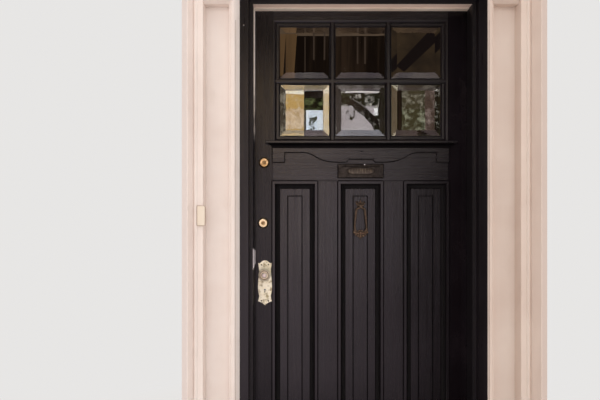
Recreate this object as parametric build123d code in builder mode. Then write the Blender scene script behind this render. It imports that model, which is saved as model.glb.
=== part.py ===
from build123d import *
import os

os.makedirs("parts", exist_ok=True)

# Panelled front door in its frame, with a moulded pilaster surround.
# X runs right, Y runs into the house and Z runs up. Y = 0 is the outer face of the closed door,
# and the origin is at the middle of the underside of the sill.

# Door leaf
door_w = 864
door_h = 2032
door_t = 44
stile_w = 86
top_rail_h = 51
lock_rail_h = 159.6
bottom_rail_h = 230
mullion_w = 89.5
edge_gap = 3
foot_gap = 4

# Joints of the leaf
panel_t = 16
panel_set_back = 14
plough_depth = 10
panel_play = 2
fit = 0.2
tenon_t = 14
tenon_length = 42
tenon_inset = 14

# Lights
light_h = 204.1
bar_w = 25.5
glaze_w = 25.6
glazing_fillet = 2
bar_set_back = 3
bar_nose_w = 9
glass_t = 6
glass_edge_t = 3.5
glass_set_back = 15
glass_lip = 8
bevel_w = 23
web_w = 8
bead_depth = 14

# Panel mouldings
lap = 4.5
bolection_w = 28
bolection_out = 5
fillet_w = 12
hollow_r = 8
moulding_lip = 1.5
inner_moulding_w = 14
inner_lip = 2
incision_w = 57
incision_inset = 55
incision_depth = 2.5
incision_line = 2.5

# Shelf over the lock rail
shelf_overhang = 27
shelf_out = 32
shelf_t = 9
shelf_rise = 2
bed_h = 17
bed_out = 16
apron_t = 6
apron_clear = 11.5
apron_end_w = 47.5
apron_end_h = 57
apron_step_h = 17
apron_flat_w = 71.5
apron_dip_x = 76
apron_dip_flat = 14
apron_dip_h = 55.7
apron_rise_x = 42
apron_rise_h = 44

# Frame
sill_h = 44
sill_nose = 40
sill_fall = 8
strip_h = 12
strip_chamfer = 6
jamb_t = 33
frame_out = 110
storm_rabbet = 35
stop_t = 14
head_stop_t = 18
stop_gap = 1
draught_w = 32
draught_t = 3
fixing_r = 4
fixing_spacing = 800

# Surround
pilaster_stile_w = 28
pilaster_mould_w = 28
pilaster_panel_w = 90
pilaster_return_w = 3
pilaster_flat_w = 20
pilaster_bead_w = 17
backband_w = 26
stile_out = 50
flat_out = 53
bead_out = 61
backband_out = 141
backband_foot = 5
field_y = 8
surround_back = 20
quirk = 4
ovolo_r = 18
frieze_h = 186
sunk_panel_drop = 221
sunk_panel_foot = 260
bell_w = 29
bell_h = 75
bell_out = 9
bell_z = 1265

# Hinges
hinge_h = 90
hinge_leaf_t = 2.5
hinge_leaf_w = 30
knuckle_r = 6
knuckle_gap = 0.3
pin_r = 3
pin_head_r = 4.6
pin_head_h = 4
running = 0.05
hinge_inset = 230

# Letter plate
letter_w = 180
letter_h = 54
letter_drop = 115.7
letter_t = 5
flap_w = 149
flap_h = 35
flap_t = 2.5
flap_play = 0.6
flap_barrel_r = 2
flap_pin_r = 1
flap_pin_length = 4
slot_play = 1.5
label_w = 110
label_h = 28
label_rim = 2.5
label_rim_out = 1.2

# Knocker
knocker_drop = 63.5
knocker_pin_drop = 28
knocker_length = 133.5
knocker_foot_half = 30.6
knocker_t = 8
knocker_pin_r = 2
knocker_eye_r = 5
knocker_eye_half = 6.7
knocker_lug_w = 4
knocker_stand_off = 11
crown_half = 19.5
crown_t = 4
scroll_r = 2.5
stud_r = 8
stud_gap = 0.3

# Locks
lock_y = 22
cylinder_inset = 50
lower_cylinder_shift = 4
upper_cylinder_drop = 82.5
lower_cylinder_drop = 161.8
cylinder_r = 21.5
cylinder_out = 12
cylinder_body_r = 16
cylinder_body_length = 15
plug_r = 7
plug_proud = 1
key_slot_w = 2.2
key_slot_h = 8
tail_w = 8
tail_t = 3
rose_r = 24
rose_t = 4
turn_shaft_r = 5
turn_out = 20
turn_length = 34
turn_t = 9
deadbolt_t = 12
deadbolt_h = 20
deadbolt_length = 39
deadbolt_throw = 25
bolt_set_in = 0.5
bolt_play = 0.3

# Mortise lock and its furniture
spindle_inset = 53
knob_drop = 201.3
key_drop = 62.8
case_depth = 77
case_h = 130
case_t = 16
case_below_knob = 98
forend_t = 3
forend_w = 22
forend_margin = 12
latch_h = 22
latch_length = 36
latch_throw = 12
mortise_bolt_h = 24
mortise_bolt_length = 34
mortise_bolt_throw = 16
mortise_bolt_drop = 48
spindle_w = 8
knob_r = 24
knob_neck_r = 8
knob_shank_r = 9
knob_out = 50
escutcheon_w = 55.5
escutcheon_h = 178
escutcheon_t = 3
escutcheon_step = 0.94
escutcheon_drop = 35.4
key_hole_r = 4
key_slot_drop = 11
strike_t = 2
strike_wall = 1.2
strike_margin = 18
pocket_play = 1.5
pocket_end = 2.5

# Places worked out from the sizes
half_w = door_w / 2
door_bottom = sill_h + strip_h + foot_gap
door_top = door_bottom + door_h
leaf_edge = half_w - stile_w
jamb_in = half_w + edge_gap
jamb_out = jamb_in + jamb_t
stop_in = jamb_in - stop_t
head_under = door_top + edge_gap
head_top = head_under + jamb_t
stop_front = frame_out - storm_rabbet
lights_top = door_top - top_rail_h
sight_top = lights_top - glaze_w
sight_bottom = sight_top - 2 * light_h - bar_w
lights_bottom = sight_bottom - glaze_w
sight_half = leaf_edge - glaze_w
light_w = (2 * sight_half - 2 * bar_w) / 3
panels_top = lights_bottom - lock_rail_h
panels_bottom = door_bottom + bottom_rail_h
panel_w = (2 * leaf_edge - 2 * mullion_w) / 3
panel_pitch = panel_w + mullion_w
panel_back = panel_set_back + panel_t
pilaster_top = head_top + frieze_h
surround_top = pilaster_top + backband_w
sunk_panel_top = pilaster_top - sunk_panel_drop
shelf_top = lights_bottom + shelf_rise
letter_z = lights_bottom - letter_drop
knocker_top = panels_top - knocker_drop
cylinder_x = half_w - cylinder_inset
spindle_x = half_w - spindle_inset
apron_half = cylinder_x - cylinder_r - apron_clear
apron_in = apron_half - apron_end_w
apron_flat_x = apron_in - apron_flat_w
shelf_half = apron_half + shelf_overhang
upper_cylinder_z = lights_bottom - upper_cylinder_drop
lower_cylinder_z = panels_top - lower_cylinder_drop
knob_z = lower_cylinder_z - knob_drop
glass_rebate = glass_set_back + glass_t - glass_edge_t
glass_back = glass_set_back + glass_t
tenon_front = (door_t - tenon_t) / 2
hinge_y = door_t + knuckle_r + 0.5
hinge_x = half_w + edge_gap / 2
hinge_heights = [
    door_bottom + hinge_inset,
    (door_bottom + door_top) / 2,
    door_top - hinge_inset,
]
upper_lock = (-cylinder_x, upper_cylinder_z)
lower_lock = (-cylinder_x - lower_cylinder_shift, lower_cylinder_z)
sides = {"left": -1, "right": 1}


def save(piece, name):
    piece.label = name
    export_step(piece, "parts/" + name + ".step")


def block(x0, x1, y0, y1, z0, z1, mode=Mode.ADD):
    with Locations(((x0 + x1) / 2, (y0 + y1) / 2, (z0 + z1) / 2)):
        Box(abs(x1 - x0), abs(y1 - y0), abs(z1 - z0), mode=mode)


def facing(x, z, y=0):
    """Plane on the outside of the door, X to the right, Z up, normal to the street."""
    return Plane(origin=(x, y, z), x_dir=(1, 0, 0), z_dir=(0, -1, 0))


def turned(x, z, outline):
    """Turned piece about a line along Y. The outline gives radius and height out of the face."""
    with BuildPart() as piece:
        with BuildSketch(Plane(origin=(x, 0, z), x_dir=(1, 0, 0), z_dir=(0, 0, -1))):
            with BuildLine():
                Polyline(outline, close=True)
            make_face()
        revolve(axis=Axis((x, 0, z), (0, 1, 0)))
    return piece.part


def mitred_length(section, corner, run, inward, length, cuts):
    """One length of moulding. The section gives distance in from the edge and height out."""
    start = Vector(*corner)
    along = Vector(*run)
    across = Vector(*inward)
    with BuildPart() as piece:
        with BuildSketch(Plane(origin=start, x_dir=across, z_dir=along)):
            with BuildLine():
                Polyline(section, close=True)
            make_face()
        extrude(amount=length)
        if cuts[0]:
            split(bisect_by=Plane(origin=start, z_dir=along - across), keep=Keep.TOP)
        if cuts[1]:
            far = start + along * length
            split(bisect_by=Plane(origin=far, z_dir=-along - across), keep=Keep.TOP)
    return piece.part


def mitred_frame(section, x0, x1, z0, z1):
    """Four mitred lengths round a rectangle, as separate solids."""
    sizes = (x1 - x0, z1 - z0, x1 - x0, z1 - z0)
    corners = ((x0, 0, z0), (x1, 0, z0), (x1, 0, z1), (x0, 0, z1))
    runs = ((1, 0, 0), (0, 0, 1), (-1, 0, 0), (0, 0, -1))
    inwards = ((0, 0, 1), (-1, 0, 0), (0, 0, -1), (1, 0, 0))
    return [
        mitred_length(section, corner, run, inward, size, (True, True))
        for corner, run, inward, size in zip(corners, runs, inwards, sizes)
    ]


def arc_points(centre, radius, first, last, steps):
    """Points along an arc, for a moulding section. Angles are in degrees."""
    angles = [first + (last - first) * n / steps for n in range(steps + 1)]
    return [
        tuple(Vector(*centre) + Vector(radius, 0).rotate(Axis.Z, angle))[:2]
        for angle in angles
    ]


# Sill and threshold
def make_sill():
    with BuildPart() as piece:
        with BuildSketch(Plane.YZ.offset(-jamb_out)):
            with BuildLine():
                Polyline(
                    (-frame_out - sill_nose, 0),
                    (-frame_out - sill_nose, sill_h - sill_fall),
                    (-frame_out, sill_h),
                    (door_t, sill_h),
                    (door_t, 0),
                    close=True,
                )
            make_face()
        extrude(amount=2 * jamb_out)
    return piece.part


def make_threshold():
    with BuildPart() as piece:
        with BuildSketch(Plane.YZ.offset(-jamb_in)):
            with BuildLine():
                Polyline(
                    (0, sill_h),
                    (0, sill_h + strip_h - strip_chamfer),
                    (strip_chamfer, sill_h + strip_h),
                    (door_t - strip_chamfer, sill_h + strip_h),
                    (door_t, sill_h + strip_h - strip_chamfer),
                    (door_t, sill_h),
                    close=True,
                )
            make_face()
        extrude(amount=2 * jamb_in)
    return piece.part


save(make_sill(), "sill")
save(make_threshold(), "threshold_strip")


# Strike boxes let into the left jamb, one for each lock
def strike_sizes(z0, z1, throw):
    """Height range of the pocket and how deep its box goes into the jamb."""
    depth = throw - edge_gap - bolt_set_in + pocket_end
    return z0 - pocket_play, z1 + pocket_play, depth


mortise_bolt_z = knob_z - mortise_bolt_drop
strikes = [
    strike_sizes(upper_lock[1] - deadbolt_h / 2, upper_lock[1] + deadbolt_h / 2, deadbolt_throw),
    strike_sizes(lower_lock[1] - deadbolt_h / 2, lower_lock[1] + deadbolt_h / 2, deadbolt_throw),
    strike_sizes(mortise_bolt_z - mortise_bolt_h / 2, knob_z + latch_h / 2, mortise_bolt_throw),
]
pocket_half = deadbolt_t / 2 + pocket_play
box_half = pocket_half + strike_wall
flange_half = forend_w / 2


def make_strike(z0, z1, depth):
    with BuildPart() as piece:
        block(-jamb_in - strike_t, -jamb_in, lock_y - flange_half, lock_y + flange_half,
              z0 - strike_margin, z1 + strike_margin)
        block(-jamb_in - depth - strike_wall, -jamb_in, lock_y - box_half, lock_y + box_half,
              z0 - strike_wall, z1 + strike_wall)
        block(-jamb_in - depth, -jamb_in, lock_y - pocket_half, lock_y + pocket_half,
              z0, z1, mode=Mode.SUBTRACT)
    return piece.part


save(Compound(children=[make_strike(*sizes) for sizes in strikes]), "strike_boxes")


# Jambs, head and stops
def cut_strikes():
    for z0, z1, depth in strikes:
        block(-jamb_in - strike_t, -jamb_in, lock_y - flange_half, lock_y + flange_half,
              z0 - strike_margin, z1 + strike_margin, mode=Mode.SUBTRACT)
        block(-jamb_in - depth - strike_wall, -jamb_in, lock_y - box_half, lock_y + box_half,
              z0 - strike_wall, z1 + strike_wall, mode=Mode.SUBTRACT)


def cut_hinges(x0, x1):
    for z in hinge_heights:
        block(x0, x1, door_t - hinge_leaf_w, door_t, z - hinge_h / 2, z + hinge_h / 2,
              mode=Mode.SUBTRACT)


def cut_fixings(side):
    middle = (side * (jamb_in + jamb_out) / 2, fixing_y, (sill_h + head_top) / 2)
    with Locations(Plane(origin=middle, x_dir=(0, 0, 1), z_dir=(1, 0, 0))):
        with GridLocations(fixing_spacing, 0, 3, 1):
            Cylinder(fixing_r, 2 * jamb_t, mode=Mode.SUBTRACT)


fixing_y = (surround_back + door_t) / 2

with BuildPart() as jamb_left:
    block(-jamb_out, -jamb_in, -frame_out, door_t, sill_h, head_top)
    cut_strikes()
    cut_fixings(-1)
save(jamb_left.part, "jamb_left")

with BuildPart() as jamb_right:
    block(jamb_in, jamb_out, -frame_out, door_t, sill_h, head_top)
    cut_hinges(jamb_in, jamb_in + hinge_leaf_t)
    cut_fixings(1)
save(jamb_right.part, "jamb_right")

with BuildPart() as head_frame:
    block(-jamb_in, jamb_in, -frame_out, door_t, head_under, head_top)
save(head_frame.part, "head_frame")


def make_stop(x0, x1, z0, z1):
    with BuildPart() as piece:
        block(x0, x1, -stop_front, -stop_gap, z0, z1)
    return piece.part


soffit = head_under - head_stop_t
stops = [
    make_stop(-jamb_in, -stop_in, sill_h, head_under),
    make_stop(stop_in, jamb_in, sill_h, head_under),
    make_stop(-stop_in, stop_in, soffit, head_under),
]
save(Compound(children=stops), "door_stops")

# Draught strip under the head stop and down the left stop
def make_strip(x1, z0, z1):
    with BuildPart() as piece:
        block(-stop_in, x1, -stop_gap - draught_w, -stop_gap, z0, z1)
    return piece.part


strips = [
    make_strip(stop_in, soffit - draught_t, soffit),
    make_strip(-stop_in + draught_t, door_bottom, soffit - draught_t),
]
save(Compound(children=strips), "draught_strip")

# Pilasters beside the frame, each with a sunk panel
stile_edge = jamb_out + pilaster_stile_w
panel_in = stile_edge + pilaster_mould_w
panel_out = panel_in + pilaster_panel_w
flat_in = panel_out + pilaster_return_w
bead_in = flat_in + pilaster_flat_w
pilaster_out = bead_in + pilaster_bead_w
band_out = pilaster_out + backband_w
ovolo_edge = stile_edge + ovolo_r
ovolo_back = stile_out - quirk - ovolo_r
bead_mid = (bead_in + pilaster_out) / 2
ovolo_reach = ovolo_r * 0.5 ** 0.5
panel_end_slope = pilaster_mould_w / 2


with BuildPart() as pilaster_right:
    with BuildSketch(Plane.XY):
        with BuildLine():
            Polyline(
                (stile_edge, surround_back),
                (jamb_out, surround_back),
                (jamb_out, -stile_out),
                (stile_edge, -stile_out),
                (stile_edge, -stile_out + quirk),
            )
            ThreePointArc(
                (stile_edge, -stile_out + quirk),
                (stile_edge + ovolo_reach, -ovolo_back - ovolo_reach),
                (ovolo_edge, -ovolo_back),
            )
            Polyline(
                (ovolo_edge, -ovolo_back),
                (ovolo_edge + quirk, -ovolo_back),
                (ovolo_edge + quirk, -ovolo_back + quirk),
                (panel_in, field_y),
                (panel_out, field_y),
                (flat_in, -stile_out),
                (flat_in, -flat_out),
                (bead_in, -flat_out),
            )
            ThreePointArc((bead_in, -flat_out), (bead_mid, -bead_out), (pilaster_out, -flat_out))
            Polyline(
                (pilaster_out, -flat_out),
                (pilaster_out, surround_back),
                (stile_edge, surround_back),
            )
        make_face()
    extrude(amount=pilaster_top)
    for end, panel_end, way in ((0, sunk_panel_foot, -1), (pilaster_top, sunk_panel_top, 1)):
        with BuildSketch(Plane.YZ.offset(stile_edge)):
            with BuildLine():
                Polyline(
                    (field_y, end),
                    (-stile_out, end),
                    (-stile_out, panel_end + way * panel_end_slope),
                    (-ovolo_back, panel_end),
                    (field_y, panel_end),
                    close=True,
                )
            make_face()
        extrude(amount=flat_in - stile_edge)
save(pilaster_right.part, "pilaster_right")

with BuildPart() as pilaster_left:
    mirror(pilaster_right.part, about=Plane.YZ)
save(pilaster_left.part, "pilaster_left")

# Backband moulding up both sides and across the top
backband_section = [
    (0, -surround_back),
    (0, backband_out),
    (backband_w - backband_foot - quirk / 2, backband_out),
    (backband_w - backband_foot, backband_out - quirk / 2),
    (backband_w - backband_foot, (backband_out + flat_out) / 2),
    (backband_w - backband_foot * 0.8, backband_out * 0.55),
    (backband_w - backband_foot * 0.4, backband_out * 0.45),
    (backband_w, flat_out + quirk),
    (backband_w, -surround_back),
]
bands = {
    "backband_left": ((-band_out, 0, surround_top), (0, 0, -1), (1, 0, 0), surround_top, (True, False)),
    "backband_right": ((band_out, 0, 0), (0, 0, 1), (-1, 0, 0), surround_top, (False, True)),
    "backband_top": ((band_out, 0, surround_top), (-1, 0, 0), (0, 0, -1), 2 * band_out, (True, True)),
}
for name, (corner, run, inward, length, cuts) in bands.items():
    save(mitred_length(backband_section, corner, run, inward, length, cuts), name)

with BuildPart() as frieze_board:
    block(-jamb_out, jamb_out, -stile_out, surround_back, head_top, pilaster_top)
save(frieze_board.part, "frieze_board")

# Old bell push on the left pilaster, painted over
with BuildPart() as bell_push:
    with BuildSketch(facing(-bead_in + bell_w / 2, bell_z, -flat_out)):
        Rectangle(bell_w, bell_h)
    extrude(amount=bell_out)
    fillet(bell_push.edges().filter_by(Axis.Y).group_by(Axis.X)[-1], bell_w / 5)
    fillet(bell_push.faces().sort_by(Axis.Y)[0].edges(), bell_out / 6)
save(bell_push.part, "bell_push")


# Stiles, rails and mullions of the leaf
def cut_plough(x0, x1, z0, z1):
    block(x0, x1, panel_set_back - fit, panel_back + fit, z0, z1, mode=Mode.SUBTRACT)


def rail_tenon(z0, z1, extra, mode):
    """Tenon at both ends of a rail, or the mortise for it when it is cut away."""
    long = leaf_edge + tenon_length + extra
    for side in sides.values():
        block(side * leaf_edge, side * long, tenon_front - extra, door_t - tenon_front + extra,
              z0 + tenon_inset - extra, z1 - tenon_inset + extra, mode=mode)


rails = {
    "top_rail": (lights_top, door_top),
    "lock_rail": (panels_top, lights_bottom),
    "bottom_rail": (door_bottom, panels_bottom),
}


def cut_stile(side):
    cut_plough(side * leaf_edge, side * (leaf_edge + plough_depth),
               panels_bottom - plough_depth, panels_top + plough_depth)
    for z0, z1 in rails.values():
        rail_tenon(z0, z1, fit, Mode.SUBTRACT)


def hole(x, z, radius, y0, y1):
    with Locations(Location((x, (y0 + y1) / 2, z), (90, 0, 0))):
        Cylinder(radius, y1 - y0, mode=Mode.SUBTRACT)


with BuildPart() as hinge_stile:
    block(leaf_edge, half_w, 0, door_t, door_bottom, door_top)
    cut_stile(1)
    cut_hinges(half_w - hinge_leaf_t, half_w)
save(hinge_stile.part, "hinge_stile")

case_bottom = knob_z - case_below_knob
case_top = case_bottom + case_h
key_z = knob_z - key_drop


def cut_rim_lock(x, z):
    hole(x, z, cylinder_body_r + fit, 0, door_t)
    block(-half_w, x, lock_y - deadbolt_t / 2 - bolt_play, lock_y + deadbolt_t / 2 + bolt_play,
          z - deadbolt_h / 2 - bolt_play, z + deadbolt_h / 2 + bolt_play, mode=Mode.SUBTRACT)


with BuildPart() as lock_stile:
    block(-half_w, -leaf_edge, 0, door_t, door_bottom, door_top)
    cut_stile(-1)
    cut_rim_lock(*upper_lock)
    cut_rim_lock(*lower_lock)
    block(-half_w, -half_w + forend_t, lock_y - forend_w / 2, lock_y + forend_w / 2,
          case_bottom - forend_margin, case_top + forend_margin, mode=Mode.SUBTRACT)
    block(-half_w, -half_w + case_depth + fit, lock_y - case_t / 2 - fit, lock_y + case_t / 2 + fit,
          case_bottom - fit, case_top + fit, mode=Mode.SUBTRACT)
    hole(-spindle_x, knob_z, knob_shank_r + 1, 0, door_t)
    hole(-spindle_x, key_z, 2 * key_hole_r, 0, door_t)
save(lock_stile.part, "lock_stile")

with BuildPart() as top_rail:
    block(-leaf_edge, leaf_edge, 0, door_t, *rails["top_rail"])
    rail_tenon(*rails["top_rail"], 0, Mode.ADD)
save(top_rail.part, "top_rail")

slot_half = flap_w / 2 + slot_play
flap_pin_z = letter_z + flap_h / 2
slot_bottom = letter_z - flap_h / 2 - slot_play
slot_top = flap_pin_z + flap_barrel_r + slot_play
with BuildPart() as lock_rail:
    block(-leaf_edge, leaf_edge, 0, door_t, *rails["lock_rail"])
    rail_tenon(*rails["lock_rail"], 0, Mode.ADD)
    cut_plough(-leaf_edge, leaf_edge, panels_top, panels_top + plough_depth)
    block(-slot_half, slot_half, 0, door_t, slot_bottom, slot_top, mode=Mode.SUBTRACT)
    cut_rim_lock(*upper_lock)
save(lock_rail.part, "lock_rail")

with BuildPart() as bottom_rail:
    block(-leaf_edge, leaf_edge, 0, door_t, *rails["bottom_rail"])
    rail_tenon(*rails["bottom_rail"], 0, Mode.ADD)
    cut_plough(-leaf_edge, leaf_edge, panels_bottom - plough_depth, panels_bottom)
save(bottom_rail.part, "bottom_rail")

mullion_x = (panel_w + mullion_w) / 2
for word, side in sides.items():
    with BuildPart() as mullion:
        middle = side * mullion_x
        near = middle - mullion_w / 2
        far = middle + mullion_w / 2
        block(near, far, 0, door_t, panels_bottom, panels_top)
        cut_plough(near, near + plough_depth, panels_bottom, panels_top)
        cut_plough(far - plough_depth, far, panels_bottom, panels_top)
        tongue = plough_depth - fit
        block(near + plough_depth, far - plough_depth, panel_set_back, panel_back,
              panels_bottom - tongue, panels_top + tongue)
    save(mullion.part, "mullion_" + word)

# Panels, each with an incised rectangle, and their mouldings
places = {"left": -panel_pitch, "centre": 0, "right": panel_pitch}
reach = plough_depth - panel_play
field_top = panels_top + lap - bolection_w
field_bottom = panels_bottom - lap + bolection_w
quarter_down = (75, 10)

bolection_section = [
    (0, 0),
    (0, bolection_out - moulding_lip),
    (moulding_lip, bolection_out),
    (fillet_w - moulding_lip, bolection_out),
    (fillet_w, bolection_out - moulding_lip),
    (fillet_w, -bolection_out),
    *arc_points((fillet_w, -bolection_out - hollow_r), hollow_r, *quarter_down, 4),
    (fillet_w + hollow_r + moulding_lip, -bolection_out - hollow_r + moulding_lip),
    (bolection_w, -panel_set_back + moulding_lip),
    (bolection_w, -panel_set_back),
    (lap, -panel_set_back),
    (lap, 0),
]
inner_section = [
    (0, -panel_back),
    (inner_moulding_w, -panel_back),
    (inner_moulding_w, -panel_back - inner_lip),
    *arc_points((0, -panel_back - inner_lip), inner_moulding_w - inner_lip, 0, -80, 4),
    (0, -door_t),
]

inner_lengths = []
for word, x in places.items():
    incision_top = field_top - incision_inset + bolection_w - lap
    incision_bottom = field_bottom + incision_inset - bolection_w + lap
    with BuildPart() as panel:
        block(x - panel_w / 2 - reach, x + panel_w / 2 + reach, panel_set_back, panel_back,
              panels_bottom - reach, panels_top + reach)
        with BuildSketch(facing(x, (incision_top + incision_bottom) / 2, panel_set_back)):
            Rectangle(incision_w + incision_line, incision_top - incision_bottom + incision_line)
            Rectangle(incision_w - incision_line, incision_top - incision_bottom - incision_line,
                      mode=Mode.SUBTRACT)
        extrude(amount=-incision_depth, mode=Mode.SUBTRACT)
    save(panel.part, "panel_" + word)
    lengths = mitred_frame(bolection_section, x - panel_w / 2 - lap, x + panel_w / 2 + lap,
                           panels_bottom - lap, panels_top + lap)
    save(Compound(children=lengths), "panel_moulding_" + word)
    inner_lengths += mitred_frame(inner_section, x - panel_w / 2, x + panel_w / 2,
                                  panels_bottom, panels_top)
save(Compound(children=inner_lengths), "inner_mouldings")

# Lights: moulding round the opening, bars, glass and beads
ovolo_drop = glass_set_back - bar_set_back - 2
glazing_section = [
    (0, 0),
    (glazing_fillet, 0),
    (glazing_fillet, -moulding_lip),
    *arc_points((1.5 * glazing_fillet, -moulding_lip - ovolo_drop), ovolo_drop, *quarter_down, 4),
    (glaze_w - 2 * glazing_fillet, -ovolo_drop),
    (glaze_w, -glass_set_back + moulding_lip),
    (glaze_w, -glass_rebate),
    (0, -glass_rebate),
]
glazing_lengths = mitred_frame(glazing_section, -leaf_edge, leaf_edge, lights_bottom, lights_top)
save(Compound(children=glazing_lengths), "glazing_moulding")

bar_shoulder = bar_w / 2 - 3
bar_back = glass_back + bead_depth
bar_section = [
    (-bar_nose_w / 2, -bar_set_back),
    (bar_nose_w / 2, -bar_set_back),
    (bar_nose_w / 2, -bar_set_back - 1.5),
    (bar_nose_w / 2 + 3, -bar_set_back - 2.5),
    (bar_shoulder, -glass_set_back + 5),
    (bar_w / 2, -glass_set_back + 1.5),
    (bar_w / 2, -glass_rebate),
    (web_w / 2, -glass_rebate),
    (web_w / 2, -bar_back),
    (-web_w / 2, -bar_back),
    (-web_w / 2, -glass_rebate),
    (-bar_w / 2, -glass_rebate),
    (-bar_w / 2, -glass_set_back + 1.5),
    (-bar_shoulder, -glass_set_back + 5),
    (-bar_nose_w / 2 - 3, -bar_set_back - 2.5),
    (-bar_nose_w / 2, -bar_set_back - 1.5),
]
bar_x = (light_w + bar_w) / 2
cross_z = sight_bottom + light_h + bar_w / 2
uprights = []
for side in sides.values():
    with BuildPart() as upright:
        with BuildSketch(Plane(origin=(side * bar_x, 0, lights_bottom), x_dir=(-1, 0, 0),
                               z_dir=(0, 0, 1))):
            with BuildLine():
                Polyline(bar_section, close=True)
            make_face()
        extrude(amount=lights_top - lights_bottom)
        for length in glazing_lengths:
            add(length, mode=Mode.SUBTRACT)
    uprights.append(upright.part)
cross_bars = []
cross_ends = (-leaf_edge, -bar_x, bar_x, leaf_edge)
for start, end in zip(cross_ends, cross_ends[1:]):
    with BuildPart() as cross_bar:
        with BuildSketch(Plane(origin=(start, 0, cross_z), x_dir=(0, 0, 1), z_dir=(1, 0, 0))):
            with BuildLine():
                Polyline(bar_section, close=True)
            make_face()
        extrude(amount=end - start)
        for neighbour in glazing_lengths + uprights:
            add(neighbour, mode=Mode.SUBTRACT)
    cross_bars.append(cross_bar.part)
save(Compound(children=uprights + cross_bars), "glazing_bars")

panes = []
beads = []
web_reach = (bar_w - web_w) / 2
columns = [-light_w - bar_w, 0, light_w + bar_w]
rows = [sight_bottom + light_h / 2, sight_top - light_h / 2]
for z in rows:
    for x in columns:
        left = -leaf_edge if x == columns[0] else x - light_w / 2 - web_reach
        right = leaf_edge if x == columns[2] else x + light_w / 2 + web_reach
        low = lights_bottom if z == rows[0] else z - light_h / 2 - web_reach
        high = lights_top if z == rows[1] else z + light_h / 2 + web_reach
        with BuildPart() as pane:
            with BuildSketch(facing(x, z, glass_back)):
                Rectangle(light_w + 2 * glass_lip, light_h + 2 * glass_lip)
            extrude(amount=glass_edge_t)
            with BuildSketch(facing(x, z, glass_rebate)):
                Rectangle(light_w, light_h)
            with BuildSketch(facing(x, z, glass_set_back)):
                Rectangle(light_w - 2 * bevel_w, light_h - 2 * bevel_w)
            loft(ruled=True)
        panes.append(pane.part)
        with BuildPart() as bead:
            block(left, right, glass_back, bar_back, low, high)
            with BuildSketch(facing(x, z, glass_back)):
                Rectangle(light_w, light_h)
            extrude(amount=-bead_depth, taper=-20, mode=Mode.SUBTRACT)
        beads.append(bead.part)
save(Compound(children=panes), "glass_panes")
save(Compound(children=beads), "glazing_beads")

# Shelf, the bed moulding that carries it and the shaped apron
shelf_bottom = shelf_top - shelf_t
bed_bottom = shelf_bottom - bed_h
with BuildPart() as shelf:
    block(-shelf_half, shelf_half, -shelf_out, 0, shelf_bottom, shelf_top)
    chamfer(shelf.faces().sort_by(Axis.Y)[0].edges(), shelf_t / 6)
save(shelf.part, "shelf")

with BuildPart() as bed_moulding:
    with BuildLine() as bed_path:
        Polyline((-apron_half, 0, bed_bottom), (-apron_half, -apron_t, bed_bottom),
                 (apron_half, -apron_t, bed_bottom), (apron_half, 0, bed_bottom))
    with BuildSketch(Plane(origin=(-apron_half, 0, bed_bottom), x_dir=(-1, 0, 0), z_dir=(0, 1, 0))):
        with BuildLine():
            Polyline((-1, 0), (2, 0), (2, 3), (4, 3))
            ThreePointArc((4, 3), (bed_out * 0.45, bed_h * 0.62), (bed_out - 4, bed_h - 4))
            Polyline((bed_out - 4, bed_h - 4), (bed_out - 2, bed_h - 4), (bed_out, bed_h - 2),
                     (bed_out, bed_h), (-1, bed_h), (-1, 0))
        make_face()
    sweep(path=bed_path.line, transition=Transition.RIGHT)
    block(-apron_half, apron_half, -apron_t, 0, bed_bottom, shelf_bottom)
    block(-band_out, band_out, 0, door_t, bed_bottom, shelf_bottom, mode=Mode.SUBTRACT)
save(bed_moulding.part, "bed_moulding")

with BuildPart() as apron:
    with BuildSketch(facing(0, bed_bottom)):
        with BuildLine():
            Polyline((0, 0), (apron_half, 0), (apron_half, -apron_end_h), (apron_in, -apron_end_h),
                     (apron_in, -apron_step_h), (apron_flat_x, -apron_step_h))
            Spline((apron_flat_x, -apron_step_h),
                   ((apron_flat_x + apron_dip_x) / 2 + apron_dip_flat,
                    -(apron_step_h + apron_dip_h) / 2 - 4),
                   (apron_dip_x + apron_dip_flat, -apron_dip_h), tangents=((-1, 0), (-1, 0)))
            Line((apron_dip_x + apron_dip_flat, -apron_dip_h), (apron_dip_x - apron_dip_flat, -apron_dip_h))
            Spline((apron_dip_x - apron_dip_flat, -apron_dip_h), (apron_rise_x, -apron_rise_h),
                   tangents=((-1, 0), (-1, 0)))
            Line((apron_rise_x, -apron_rise_h), (0, -apron_rise_h))
            mirror(about=Plane.YZ)
        make_face()
    extrude(amount=apron_t)
    chamfer(apron.faces().sort_by(Axis.Y)[0].edges(), apron_t / 6)
save(apron.part, "apron")

# Letter plate: a frame and a sprung flap that hangs on its top pins
pin_y = -letter_t / 2
flap_bottom = letter_z - flap_h / 2
with BuildPart() as letter_plate:
    with BuildSketch(facing(0, letter_z)):
        Rectangle(letter_w, letter_h)
    extrude(amount=letter_t)
    chamfer(letter_plate.faces().sort_by(Axis.Y)[0].edges(), letter_t / 3)
    block(-flap_w / 2 - flap_play, flap_w / 2 + flap_play, -letter_t, 0,
          flap_bottom - flap_play, flap_pin_z + flap_barrel_r + flap_play, mode=Mode.SUBTRACT)
    with Locations(Location((0, pin_y, flap_pin_z), (0, 90, 0))):
        Cylinder(flap_pin_r + running, flap_w + 2 * flap_pin_length + 1, mode=Mode.SUBTRACT)
save(letter_plate.part, "letter_plate")

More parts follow.
